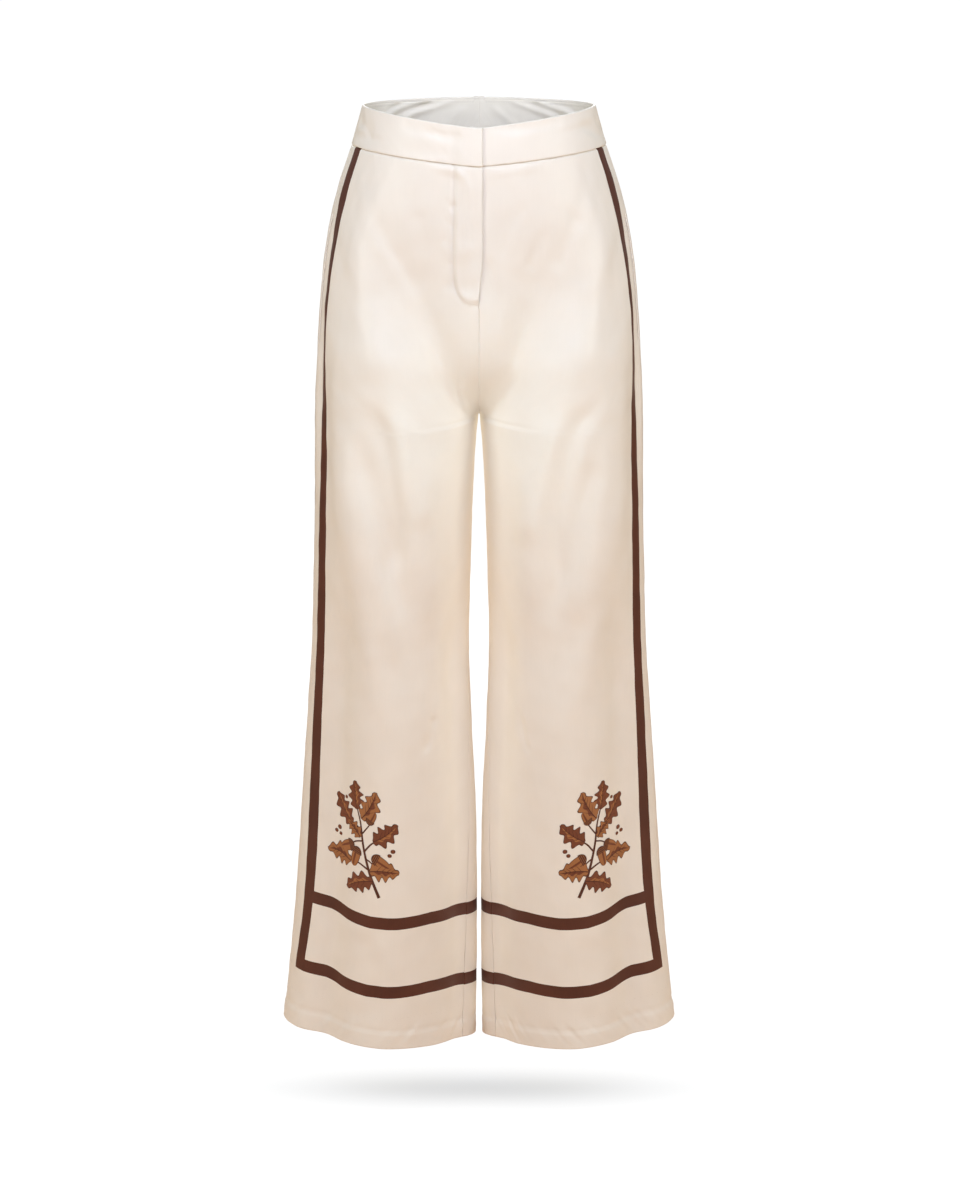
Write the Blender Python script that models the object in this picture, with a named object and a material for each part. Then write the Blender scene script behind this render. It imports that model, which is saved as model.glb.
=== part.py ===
"""Wide-leg satin riding trousers, filled out with no wearer: one closed solid for each piece of cloth.

Metres, +Z up. The front faces -Y and the wearer's left is +X. The origin is the middle of the waist
opening, at the height of the rim's sides, where the wearer holds the garment up.

Every piece is a wall on one surface. Each half of that surface is a stack of level lines that run from
the front round the side to the back. The way round is "turn": 0 at the front centre, or at the middle
of a leg's inner side, 1 at the side and 2 back at the centre or the inner side. The way down is
"level": 0 at the waist rim, 1 at the waistband's lower seam, and so on down the rows of SECTIONS.
"""

import bpy
import numpy as np

# ---------------------------------------------------------------- driving dimensions, metres
PANEL_WALL = 0.0016
BAND_WALL = 0.0022
FACING_WALL = 0.0012
HEM_WALL = 0.0026           # the hem is turned up, so the wall is thicker there
HEM_HEIGHT = 0.025
HEM_SLOPE = 0.006            # the wall thickens over this height
SEAM_GAP = 0.0003           # between one piece and the next
BAND_PROUD = 0.0005         # the waistband stands this far off the panels

UNDER_TOP_Z = -0.200        # above this the centre seams hang straight
CROTCH_Z = -0.353           # the centre seams have turned under to meet the inseam
LEG_BLEND_TOP_Z = -0.090    # between these heights the trunk's lines turn into two tubes
LEG_BLEND_END_Z = -0.370
SEAM_REACH = 0.24           # how far round from the centre seam its curve under is felt
TRUNK_WIDTH_ROUNDNESS = 2.35    # 2 is an ellipse, more is squarer and less is more pointed
TRUNK_DEPTH_ROUNDNESS = 1.85
DIP_POWER = 1.5             # how soon a level line leaves the height of the side

FLY_OVERLAP = 0.0038        # the right front passes the centre by this much
FLY_UNDERLAP = 0.010        # the left front goes this far behind it
FLY_STITCH = 0.030          # from the centre to the curved line of stitching
FLY_RAISE = 0.0028          # the fly lies this far above the panels
FLY_FLAT_SHARE = 0.45       # of the way to the stitching, where the fly starts to slope down
FLY_CURVE_SHARE = 0.60      # of the fly's width, lost where the line of stitching curves in
FLY_CURVE_HEIGHT = 0.020    # the overlap narrows this far below the start of the curve
FLY_END_Z = -0.2136
FLY_CURVE_Z = -0.178        # below this the line of stitching curves in to the fly's edge
UNDERLAP_END_Z = -0.196
RAISE_END_Z = -0.226

ZIP_HALF_WIDTH = 0.013
ZIP_CENTRE = -0.010         # beside the centre, behind the overlapping right front
ZIP_WALL = 0.0014
ZIP_TOP_Z = -0.068
ZIP_END_Z = -0.192
ZIP_COLUMNS = 4

POCKET_TOP_Z = -0.085
POCKET_END_Z = -0.335
POCKET_WIDTH = 0.150
POCKET_WALL = 0.0020

# One row for each level of the garment, from the waist rim to the hem.
# side_forward and inner_forward are how far the outseam and the inseam lie to the front of the side,
# because a back panel is cut wider than a front.
SECTION_COLUMNS = (
    "side_z", "seam_z", "front_dip", "mid_drop", "side_x", "inner_x",
    "front_y", "back_y", "leg_round", "side_forward", "inner_forward",
)
SECTIONS = (
    (0.000, 0.0030, 0.0236, 0.0000, 0.1313, 0.0000, 0.092, 0.094, 1.95, 0.010, 0.000),
    (-0.044, -0.0410, 0.0214, 0.0000, 0.1442, 0.0000, 0.099, 0.099, 1.95, 0.012, 0.000),
    (-0.085, -0.0830, 0.0160, 0.0000, 0.1583, 0.0000, 0.103, 0.108, 1.95, 0.013, 0.000),
    (-0.131, -0.1300, 0.0090, 0.0000, 0.1702, 0.0000, 0.106, 0.119, 1.95, 0.014, 0.000),
    (-0.168, -0.1680, 0.0030, 0.0000, 0.1767, 0.0000, 0.107, 0.126, 1.95, 0.015, 0.000),
    (-0.200, -0.2000, 0.0000, 0.0000, 0.1804, 0.0000, 0.108, 0.131, 1.95, 0.016, 0.000),
    (-0.238, -0.2473, 0.0000, 0.0000, 0.1838, 0.0000, 0.112, 0.136, 1.95, 0.018, 0.000),
    (-0.272, -0.2899, 0.0000, 0.0000, 0.1860, 0.0000, 0.115, 0.139, 1.95, 0.019, 0.000),
    (-0.304, -0.3206, 0.0000, 0.0000, 0.1880, 0.0000, 0.111, 0.133, 1.95, 0.020, 0.000),
    (-0.330, -0.3398, 0.0000, 0.0000, 0.1893, 0.0000, 0.108, 0.128, 1.95, 0.020, 0.000),
    (-0.350, -0.3497, 0.0000, 0.0000, 0.1900, 0.0000, 0.106, 0.124, 1.95, 0.021, 0.000),
    (-0.368, -0.3530, 0.0000, 0.0000, 0.1906, 0.0006, 0.105, 0.120, 1.95, 0.022, 0.000),
    (-0.400, -0.3840, 0.0000, 0.0000, 0.1909, 0.0034, 0.103, 0.114, 1.94, 0.022, 0.001),
    (-0.457, -0.4470, 0.0000, 0.0000, 0.1917, 0.0070, 0.099, 0.106, 1.92, 0.022, 0.003),
    (-0.529, -0.5250, 0.0000, 0.0010, 0.1939, 0.0094, 0.094, 0.098, 1.89, 0.019, 0.006),
    (-0.626, -0.6260, 0.0000, 0.0030, 0.1975, 0.0118, 0.088, 0.091, 1.85, 0.016, 0.011),
    (-0.724, -0.7280, 0.0000, 0.0050, 0.2048, 0.0085, 0.084, 0.086, 1.81, 0.014, 0.017),
    (-0.823, -0.8360, 0.0000, 0.0070, 0.2122, 0.0035, 0.081, 0.082, 1.77, 0.015, 0.023),
    (-0.924, -0.9450, 0.0000, 0.0090, 0.2197, 0.0024, 0.079, 0.079, 1.74, 0.015, 0.027),
    (-1.013, -1.0360, 0.0000, 0.0060, 0.2283, 0.0028, 0.077, 0.077, 1.72, 0.010, 0.029),
    (-1.0966, -1.1193, 0.0000, 0.0035, 0.2381, 0.0045, 0.076, 0.075, 1.72, 0.007, 0.030),
)
CROTCH_LEVEL = 11
HEM_LEVEL = len(SECTIONS) - 1

# Long soft folds. Each runs from turn_top at z_top to turn_low at z_low and fades out at both ends.
# "legs" says on which legs it is: L, R or LR. A height above 0 is a ridge, below 0 a trough.
FOLD_COLUMNS = ("legs", "turn_top", "turn_low", "width", "height", "z_top", "z_low", "fade")
FOLDS = (
    ("LR", 0.60, 0.52, 0.085, 0.0035, -0.10, -0.33, 0.07),
    ("LR", 0.68, 0.40, 0.060, -0.0060, -0.34, -0.60, 0.08),
    ("LR", 0.76, 0.50, 0.070, 0.0050, -0.38, -0.72, 0.10),
    ("LR", 0.36, 0.32, 0.070, 0.0045, -0.36, -0.62, 0.09),
    ("LR", 0.47, 0.47, 0.160, 0.0070, -0.60, -1.25, 0.12),
    ("LR", 0.74, 0.71, 0.075, -0.0110, -0.52, -1.25, 0.16),
    ("LR", 0.18, 0.17, 0.075, -0.0070, -0.50, -1.25, 0.16),
    ("LR", 1.54, 1.56, 0.110, 0.0060, -0.30, -1.25, 0.14),
    ("LR", 1.34, 1.30, 0.080, -0.0075, -0.36, -1.25, 0.12),
    ("LR", 1.76, 1.80, 0.070, -0.0065, -0.42, -1.25, 0.12),
    ("L", 1.16, 1.14, 0.060, 0.0040, -0.48, -0.96, 0.12),
    ("R", 1.18, 1.15, 0.060, 0.0035, -0.55, -1.02, 0.12),
)

# ---------------------------------------------------------------- how finely the pieces are cut up
CURVE_SAMPLES = 480
PAST_SEAM = 0.14            # a level line starts this much of a turn before the centre or inner side
ROW_HEIGHT = 0.060          # a section taller than this is cut into two rows
FLY_END_ROWS = 4            # and one at the lower end of the fly into four
BAND_COLUMNS = 20
TAB_FACING_COLUMN = 2       # the right facing starts at this column, to clear the underlap
FRONT_COLUMNS = 13
BACK_COLUMNS = 16
# The front's columns beside the centre, as distances along the line from it.
FLY_COLUMNS = (0.006, 0.015, 0.024, 0.034, 0.048)

CREAM = (0.80, 0.70, 0.60)
FACING_COLOUR = (0.66, 0.62, 0.57)
POCKET_COLOUR = (0.72, 0.64, 0.55)
ZIP_COLOUR = (0.62, 0.53, 0.43)
SATIN_ROUGHNESS = 0.38
MATT_ROUGHNESS = 0.60
SHARP_ANGLE = np.radians(40)


def smooth_step(value, start, end):
    """Return 0 before start and 1 past end, with a soft change between them."""
    share = np.clip((value - start) / (end - start), 0.0, 1.0)
    return share * share * (3.0 - 2.0 * share)


def section_at(level):
    """Return the columns of SECTIONS, read off smoothly at a level between two of its rows."""
    table = np.array(SECTIONS)
    below = int(min(np.floor(level), len(table) - 2))
    share = level - below
    first = table[max(below - 1, 0)]
    last = table[min(below + 2, len(table) - 1)]
    start, end = table[below], table[below + 1]
    leave, arrive = (end - first) / 2, (last - start) / 2
    values = (
        start * (1 + 2 * share) * (1 - share) ** 2
        + leave * share * (1 - share) ** 2
        + end * share ** 2 * (3 - 2 * share)
        + arrive * share ** 2 * (share - 1)
    )
    return dict(zip(SECTION_COLUMNS, values))


def fold_height(leg, turn, z):
    """Return how far the folds lift the cloth at each turn and height of one leg."""
    lift = np.zeros_like(turn)
    for row in FOLDS:
        fold = dict(zip(FOLD_COLUMNS, row))
        if leg not in fold["legs"]:
            continue
        run = np.clip((fold["z_top"] - z) / (fold["z_top"] - fold["z_low"]), 0.0, 1.0)
        centre = fold["turn_top"] + (fold["turn_low"] - fold["turn_top"]) * run
        start = smooth_step(-z, -fold["z_top"], -fold["z_top"] + fold["fade"])
        end = 1.0 - smooth_step(-z, -fold["z_low"] - fold["fade"], -fold["z_low"])
        lift += fold["height"] * np.exp(-(((turn - centre) / fold["width"]) ** 2)) * start * end
    return lift


def line_normals(points):
    """Return the level normals of a line of points, away from the inside of the garment."""
    along = np.gradient(points[:, :2], axis=0)
    along /= np.linalg.norm(along, axis=1)[:, None]
    return np.column_stack((along[:, 1], -along[:, 0], np.zeros(len(points))))


def level_line(leg, level):
    """Return the cloth's outer line round one half at a level, as a dict of arrays.

    It has the points, their level normals, their turns, and their places: distances along the line
    from turn 0. The line is the left half's and is mirrored later for the right one. On the trunk it
    starts past the front centre, because a front may overlap there; on a leg it runs on round.
    """
    row = section_at(level)
    leg_line = level >= CROTCH_LEVEL
    turn = np.linspace(-PAST_SEAM, 2.0 + (PAST_SEAM if leg_line else 0.0), CURVE_SAMPLES)
    inner = np.where(turn < 1.0, np.abs(turn), np.abs(2.0 - turn))
    on_back = (turn > 1.0) & (turn <= 2.0)
    if leg_line:
        on_back |= turn < 0.0
    past_centre = (turn < 0.0) & ~on_back

    seam_z = np.where(on_back, row["seam_z"], row["seam_z"] - row["front_dip"])
    z = row["side_z"] + (seam_z - row["side_z"]) * (1 - inner) ** DIP_POWER
    z -= row["mid_drop"] * np.sin(np.pi * inner)
    depth = np.where(on_back, row["back_y"], -row["front_y"])

    sine, cosine = np.sin(np.pi * inner / 2), np.cos(np.pi * inner / 2)
    trunk_x = row["side_x"] * sine ** (2.0 / TRUNK_WIDTH_ROUNDNESS)
    trunk_y = depth * np.maximum(cosine, 0.0) ** (2.0 / TRUNK_DEPTH_ROUNDNESS)
    trunk = np.column_stack((trunk_x, trunk_y))

    half = (row["side_x"] - row["inner_x"]) / 2
    sine, cosine = np.sin(np.pi * inner), np.cos(np.pi * inner)
    power = 2.0 / row["leg_round"]
    tube_x = row["inner_x"] + half - half * np.sign(cosine) * np.abs(cosine) ** power
    tube = np.column_stack((tube_x, depth * np.maximum(sine, 0.0) ** power))

    under = np.clip((UNDER_TOP_Z - seam_z) / (UNDER_TOP_Z - CROTCH_Z), 0.0, 1.0)
    seam_share = 1.0 - np.sqrt(1.0 - under ** 2)
    body_share = smooth_step(-row["side_z"], -LEG_BLEND_TOP_Z, -LEG_BLEND_END_Z)
    reach = np.exp(-((inner / SEAM_REACH) ** 2))
    share = (reach * seam_share + (1 - reach) * body_share)[:, None]

    flat = trunk * (1 - share) + tube * share
    flat[past_centre, 0] *= -1.0
    points = np.column_stack((flat, z))
    points += line_normals(points) * fold_height(leg, turn % 2.0, z)[:, None]

    steps = np.linalg.norm(np.diff(points, axis=0), axis=1)
    places = np.concatenate(([0.0], np.cumsum(steps)))
    places -= np.interp(0.0, turn, places)
    return {"points": points, "normals": line_normals(points), "turns": turn, "places": places}


def place_of(line, turn):
    """Return the distance along a level line to a turn."""
    return float(np.interp(turn, line["turns"], line["places"]))


def read_line(line, places):
    """Return the points and unit normals of a level line at the given places along it."""
    known = line["places"]
    points = np.column_stack([np.interp(places, known, line["points"][:, axis]) for axis in range(3)])
    normals = np.column_stack([np.interp(places, known, line["normals"][:, axis]) for axis in range(3)])
    return points, normals / np.linalg.norm(normals, axis=1)[:, None]


def wall_mesh(outer, inner):
    """Return vertices and faces of the closed wall between two grids of points of the same size."""
    rows, columns = outer.shape[:2]
    vertices = np.concatenate((outer.reshape(-1, 3), inner.reshape(-1, 3)))
    behind = rows * columns

    def at(row, column):
        return row * columns + column

    faces = []
    for row in range(rows - 1):
        for column in range(columns - 1):
            here, across = at(row, column), at(row, column + 1)
            below, corner = at(row + 1, column), at(row + 1, column + 1)
            for triangle in ((here, below, corner), (here, corner, across)):
                faces.append(triangle)
                faces.append(tuple(behind + index for index in reversed(triangle)))
    rim = [at(0, column) for column in range(columns)]
    rim += [at(row, columns - 1) for row in range(1, rows)]
    rim += [at(rows - 1, column) for column in range(columns - 2, -1, -1)]
    rim += [at(row, 0) for row in range(rows - 2, 0, -1)]
    for index, following in zip(rim, rim[1:] + rim[:1]):
        faces.append((index, following, behind + following))
        faces.append((index, behind + following, behind + index))
    return vertices, faces


def make_material(name, colour, roughness):
    """Return a plain cloth material."""
    material = bpy.data.materials.new(name)
    material.use_nodes = True
    surface = material.node_tree.nodes["Principled BSDF"]
    surface.inputs["Base Color"].default_value = (*colour, 1.0)
    surface.inputs["Roughness"].default_value = roughness
    surface.inputs["Metallic"].default_value = 0.0
    return material


def add_wall(name, outer, inner, leg, colour, roughness):
    """Add one piece of cloth, mirrored for the right half, as a closed mesh that faces out."""
    vertices, faces = wall_mesh(outer, inner)
    if leg == "R":
        vertices = vertices * np.array((-1.0, 1.0, 1.0))
        faces = [tuple(reversed(face)) for face in faces]
    mesh = bpy.data.meshes.new(name)
    mesh.from_pydata(vertices.tolist(), [], faces)
    mesh.materials.append(make_material(name + "_cloth", colour, roughness))
    mesh.shade_smooth()
    mesh.set_sharp_from_angle(angle=SHARP_ANGLE)
    piece = bpy.data.objects.new(name, mesh)
    bpy.context.scene.collection.objects.link(piece)
    return piece


def hold_off_centre(grid, free_rows):
    """Keep a grid on its own side of the centre plane, but for the first rows, which may overlap."""
    grid[free_rows:, :, 0] = np.maximum(grid[free_rows:, :, 0], SEAM_GAP / 2)
    return grid


def fly_edge(leg, z):
    """Return the place of a front's edge at the height z of its centre seam: past the centre is < 0."""
    if leg == "R":
        return -FLY_OVERLAP * (1.0 - smooth_step(-z, -FLY_CURVE_Z - FLY_CURVE_HEIGHT, -FLY_END_Z))
    return -FLY_UNDERLAP * (1.0 - smooth_step(-z, -FLY_CURVE_Z, -UNDERLAP_END_Z))


def fly_raise(place, z):
    """Return how far the fly lifts the right front, at a place from the centre and a seam height."""
    curve = smooth_step(-z, -FLY_CURVE_Z, -RAISE_END_Z)
    reach = FLY_STITCH * (1.0 - FLY_CURVE_SHARE * curve)
    across = 1.0 - smooth_step(place, FLY_FLAT_SHARE * reach, reach)
    return FLY_RAISE * across * (1.0 - smooth_step(-z, -FLY_END_Z, -RAISE_END_Z))


def front_seam_z(level):
    """Return the height of a level line's start at the front centre or the inner side."""
    row = section_at(level)
    return row["seam_z"] - row["front_dip"]


def hem_top_level(above=0.0):
    """Return the level of the hem's upper edge, or of a line that far above it."""
    return HEM_LEVEL - (HEM_HEIGHT + above) / (SECTIONS[-2][0] - SECTIONS[-1][0])


def panel_levels(back):
    """Return the levels of a panel's rows, from the waistband's seam to the hem."""
    levels = []
    for level in range(1, HEM_LEVEL):
        top, low = front_seam_z(level), front_seam_z(level + 1)
        parts = 2 if top - low > ROW_HEIGHT else 1
        if not back and top > RAISE_END_Z and low < FLY_CURVE_Z:
            parts = FLY_END_ROWS
        levels += [level + part / parts for part in range(parts)]
    levels = [level for level in levels if level < hem_top_level(above=2 * HEM_SLOPE)]
    return levels + [hem_top_level(), hem_top_level(above=-HEM_SLOPE), HEM_LEVEL]


def panel_columns(leg, back, level, line):
    """Return the places of a panel's columns along a level line."""
    row = section_at(level)
    half_gap = SEAM_GAP / 2
    outseam = place_of(line, 1.0) - row["side_forward"]
    inseam = row["inner_forward"] + half_gap if level >= CROTCH_LEVEL else 0.0
    if back:
        end = place_of(line, 2.0) + (inseam - 2 * half_gap if level >= CROTCH_LEVEL else 0.0)
        return np.linspace(outseam + half_gap, end, BACK_COLUMNS + 1)
    near = inseam + np.concatenate(([fly_edge(leg, front_seam_z(level))], FLY_COLUMNS))
    return np.concatenate((near, np.linspace(near[-1], outseam - half_gap, FRONT_COLUMNS + 1)[1:]))


def panel_grid(leg, back):
    """Return a panel's outer points and their normals, row by row, and the rows' levels."""
    grid, normals, levels = [], [], panel_levels(back)
    for level in levels:
        line = level_line(leg, level)
        places = panel_columns(leg, back, level, line)
        points, facing = read_line(line, places)
        if level == levels[0]:
            points[:, 2] -= SEAM_GAP
        if not back and leg == "R":
            points += facing * fly_raise(places, front_seam_z(level))[:, None]
        grid.append(points)
        normals.append(facing)
    return np.array(grid), np.array(normals), levels


def make_panel(leg, back):
    """Make a front or back panel, which is trunk and leg in one, with its hem turned up."""
    grid, normals, levels = panel_grid(leg, back)
    walls = np.where(np.array(levels) > hem_top_level(), HEM_WALL, PANEL_WALL)[:, None, None]
    free_rows = 0 if back else sum(fly_edge(leg, front_seam_z(level)) < -SEAM_GAP for level in levels)
    outer = hold_off_centre(grid.copy(), free_rows)
    inner = hold_off_centre(grid - normals * walls, free_rows)
    name = ("back" if back else "front") + ("_left" if leg == "L" else "_right")
    return add_wall(name, outer, inner, leg, CREAM, SATIN_ROUGHNESS)


def make_waistband(leg):
    """Make one half of the waistband and the facing inside it. The right half ends in the tab."""
    grid, normals = [], []
    edge = -FLY_OVERLAP if leg == "R" else -FLY_UNDERLAP
    for level in (0.0, 0.5, 1.0):
        line = level_line(leg, level)
        round_waist = np.linspace(FLY_COLUMNS[-1], place_of(line, 2.0) - SEAM_GAP / 2, BAND_COLUMNS)
        places = np.concatenate(([edge], FLY_COLUMNS[:-1], round_waist))
        points, facing = read_line(line, places)
        if leg == "R":
            points += facing * fly_raise(places, 0.0)[:, None]
        grid.append(points)
        normals.append(facing)
    grid, normals = np.array(grid), np.array(normals)
    side = "_left" if leg == "L" else "_right"
    outer, inner = grid + normals * BAND_PROUD, grid + normals * (BAND_PROUD - BAND_WALL)
    add_wall("waistband" + side, outer, inner, leg, CREAM, SATIN_ROUGHNESS)
    first = 0 if leg == "L" else TAB_FACING_COLUMN
    outer, normals = inner[:, first:] - normals[:, first:] * SEAM_GAP, normals[:, first:]
    add_wall("facing" + side, outer, outer - normals * FACING_WALL, leg, FACING_COLOUR, MATT_ROUGHNESS)


def make_zip():
    """Make the closed zip, a plain band of tape and teeth behind the fly."""
    grid, normals = [], []
    places = np.linspace(ZIP_CENTRE - ZIP_HALF_WIDTH, ZIP_CENTRE + ZIP_HALF_WIDTH, ZIP_COLUMNS + 1)
    for level in panel_levels(back=False):
        if ZIP_END_Z < front_seam_z(level) < ZIP_TOP_Z:
            points, facing = read_line(level_line("L", level), places)
            grid.append(points - facing * (PANEL_WALL + 2 * SEAM_GAP))
            normals.append(facing)
    grid, normals = np.array(grid), np.array(normals)
    add_wall("fly_zip", grid, grid - normals * ZIP_WALL, "L", ZIP_COLOUR, MATT_ROUGHNESS)


def make_pocket(leg):
    """Make a side pocket's flat bag: its two layers lie on each other inside the front panel."""
    grid, normals, levels = panel_grid(leg, back=False)
    sides = np.array([section_at(level)["side_z"] for level in levels])
    rows = (sides >= POCKET_END_Z) & (sides <= POCKET_TOP_Z)
    grid, normals = grid[rows], normals[rows]
    columns = np.linalg.norm(grid[0] - grid[0, -1], axis=1) < POCKET_WIDTH
    grid, normals = grid[:, columns], normals[:, columns]
    grid = grid - normals * (PANEL_WALL + SEAM_GAP)
    side = "_left" if leg == "L" else "_right"
    add_wall("pocket" + side, grid, grid - normals * POCKET_WALL, leg, POCKET_COLOUR, MATT_ROUGHNESS)


def main():
    """Clear the scene and make the pieces."""
    for thing in list(bpy.data.objects):
        bpy.data.objects.remove(thing, do_unlink=True)
    for leg in "LR":
        make_panel(leg, back=False)
        make_panel(leg, back=True)
        make_waistband(leg)
        make_pocket(leg)
    make_zip()


main()
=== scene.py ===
"""Wide-leg satin riding trousers with a printed border: finished cloth over the plain solids.

Metres, +Z up. The front faces -Y, the wearer's left is +X, and the origin is the middle of the
waist opening. Each piece of cloth is a thin shell on the form of its solid, with finer folds and
turned edges.

Every shell is a grid on one surface. Each half of it is a stack of level lines that run from the
front round the side to the back. "turn" is the way round: 0 at the front centre or at the middle
of a leg's inner side, 1 at the side, 2 at the back centre or the inner side again. "level" is the
way down: 0 at the waist rim, 1 at the waistband's lower seam, and so on down the rows of
SECTIONS. "place" is a distance in metres along a level line, and "depth" one towards the inside
of the garment. Both halves are worked out as the left one, and the right one is mirrored when its
meshes are made.
"""

import bpy
import numpy as np
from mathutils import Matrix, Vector


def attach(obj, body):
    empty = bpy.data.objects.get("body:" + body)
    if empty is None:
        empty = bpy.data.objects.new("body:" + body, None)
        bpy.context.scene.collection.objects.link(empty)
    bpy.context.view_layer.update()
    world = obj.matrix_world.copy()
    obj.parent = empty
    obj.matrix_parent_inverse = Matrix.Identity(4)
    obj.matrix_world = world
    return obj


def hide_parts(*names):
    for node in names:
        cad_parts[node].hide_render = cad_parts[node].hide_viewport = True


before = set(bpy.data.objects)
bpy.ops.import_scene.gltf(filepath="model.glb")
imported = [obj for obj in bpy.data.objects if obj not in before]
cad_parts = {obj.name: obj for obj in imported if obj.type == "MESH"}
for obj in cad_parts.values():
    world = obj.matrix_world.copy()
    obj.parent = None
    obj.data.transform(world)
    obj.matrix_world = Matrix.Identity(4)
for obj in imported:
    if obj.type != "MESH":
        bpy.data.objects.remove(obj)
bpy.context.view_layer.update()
BODY = "root"

bl_info = {
    "name": "Riding trousers",
    "version": (1, 0, 0),
    "blender": (4, 5, 0),
    "location": "View3D > Sidebar > Trousers",
    "description": "Makes wide-leg satin riding trousers with a printed border",
    "category": "Object",
}

# ---------------------------------------------------------------- the form, as in the solids
UNDER_TOP_Z = -0.200
CROTCH_Z = -0.353
LEG_BLEND_TOP_Z = -0.090
LEG_BLEND_END_Z = -0.370
SEAM_REACH = 0.24
TRUNK_WIDTH_ROUNDNESS = 2.35
TRUNK_DEPTH_ROUNDNESS = 1.85
DIP_POWER = 1.5
FLY_OVERLAP = 0.0038
FLY_UNDERLAP = 0.010
FLY_STITCH = 0.030
FLY_RAISE = 0.0028
FLY_FLAT_SHARE = 0.60
FLY_CURVE_SHARE = 0.60
FLY_CURVE_HEIGHT = 0.020
FLY_END_Z = -0.2136
FLY_CURVE_Z = -0.178
UNDERLAP_END_Z = -0.196
RAISE_END_Z = -0.226
RAISE_MARGIN = 0.020

SECTION_COLUMNS = (
    "side_z", "seam_z", "front_dip", "mid_drop", "side_x", "inner_x",
    "front_y", "back_y", "leg_round", "side_forward", "inner_forward",
)
SECTIONS = (
    (0.000, 0.0030, 0.0236, 0.0000, 0.1313, 0.0000, 0.092, 0.094, 1.95, 0.010, 0.000),
    (-0.044, -0.0410, 0.0214, 0.0000, 0.1442, 0.0000, 0.099, 0.099, 1.95, 0.012, 0.000),
    (-0.085, -0.0830, 0.0160, 0.0000, 0.1583, 0.0000, 0.103, 0.108, 1.95, 0.013, 0.000),
    (-0.131, -0.1300, 0.0090, 0.0000, 0.1702, 0.0000, 0.106, 0.119, 1.95, 0.014, 0.000),
    (-0.168, -0.1680, 0.0030, 0.0000, 0.1767, 0.0000, 0.107, 0.126, 1.95, 0.015, 0.000),
    (-0.200, -0.2000, 0.0000, 0.0000, 0.1804, 0.0000, 0.108, 0.131, 1.95, 0.016, 0.000),
    (-0.238, -0.2473, 0.0000, 0.0000, 0.1838, 0.0000, 0.112, 0.136, 1.95, 0.018, 0.000),
    (-0.272, -0.2899, 0.0000, 0.0000, 0.1860, 0.0000, 0.115, 0.139, 1.95, 0.019, 0.000),
    (-0.304, -0.3206, 0.0000, 0.0000, 0.1880, 0.0000, 0.111, 0.133, 1.95, 0.020, 0.000),
    (-0.330, -0.3398, 0.0000, 0.0000, 0.1893, 0.0000, 0.108, 0.128, 1.95, 0.020, 0.000),
    (-0.350, -0.3497, 0.0000, 0.0000, 0.1900, 0.0000, 0.106, 0.124, 1.95, 0.021, 0.000),
    (-0.368, -0.3530, 0.0000, 0.0000, 0.1906, 0.0006, 0.105, 0.120, 1.95, 0.022, 0.000),
    (-0.400, -0.3840, 0.0000, 0.0000, 0.1909, 0.0034, 0.103, 0.114, 1.94, 0.022, 0.001),
    (-0.457, -0.4470, 0.0000, 0.0000, 0.1917, 0.0070, 0.099, 0.106, 1.92, 0.022, 0.003),
    (-0.529, -0.5250, 0.0000, 0.0010, 0.1939, 0.0094, 0.094, 0.098, 1.89, 0.019, 0.006),
    (-0.626, -0.6260, 0.0000, 0.0030, 0.1975, 0.0118, 0.088, 0.091, 1.85, 0.016, 0.011),
    (-0.724, -0.7280, 0.0000, 0.0050, 0.2048, 0.0085, 0.084, 0.086, 1.81, 0.014, 0.017),
    (-0.823, -0.8360, 0.0000, 0.0070, 0.2122, 0.0035, 0.081, 0.082, 1.77, 0.015, 0.023),
    (-0.924, -0.9450, 0.0000, 0.0090, 0.2197, 0.0024, 0.079, 0.079, 1.74, 0.015, 0.027),
    (-1.013, -1.0360, 0.0000, 0.0060, 0.2283, 0.0028, 0.077, 0.077, 1.72, 0.010, 0.029),
    (-1.0966, -1.1193, 0.0000, 0.0035, 0.2381, 0.0045, 0.076, 0.075, 1.72, 0.007, 0.030),
)
CROTCH_LEVEL = 11
HEM_LEVEL = len(SECTIONS) - 1

FOLD_COLUMNS = ("legs", "turn_top", "turn_low", "width", "height", "z_top", "z_low", "fade")
FOLDS = (
    ("LR", 0.60, 0.52, 0.085, 0.0035, -0.10, -0.33, 0.07),
    ("LR", 0.68, 0.40, 0.060, -0.0060, -0.34, -0.60, 0.08),
    ("LR", 0.76, 0.50, 0.070, 0.0050, -0.38, -0.72, 0.10),
    ("LR", 0.36, 0.32, 0.070, 0.0045, -0.36, -0.62, 0.09),
    ("LR", 0.47, 0.47, 0.160, 0.0070, -0.60, -1.25, 0.12),
    ("LR", 0.74, 0.71, 0.075, -0.0110, -0.52, -1.25, 0.16),
    ("LR", 0.18, 0.17, 0.075, -0.0070, -0.50, -1.25, 0.16),
    ("LR", 1.54, 1.56, 0.110, 0.0060, -0.30, -1.25, 0.14),
    ("LR", 1.34, 1.30, 0.080, -0.0075, -0.36, -1.25, 0.12),
    ("LR", 1.76, 1.80, 0.070, -0.0065, -0.42, -1.25, 0.12),
    ("L", 1.16, 1.14, 0.060, 0.0040, -0.48, -0.96, 0.12),
    ("R", 1.18, 1.15, 0.060, 0.0035, -0.55, -1.02, 0.12),
)

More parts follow.
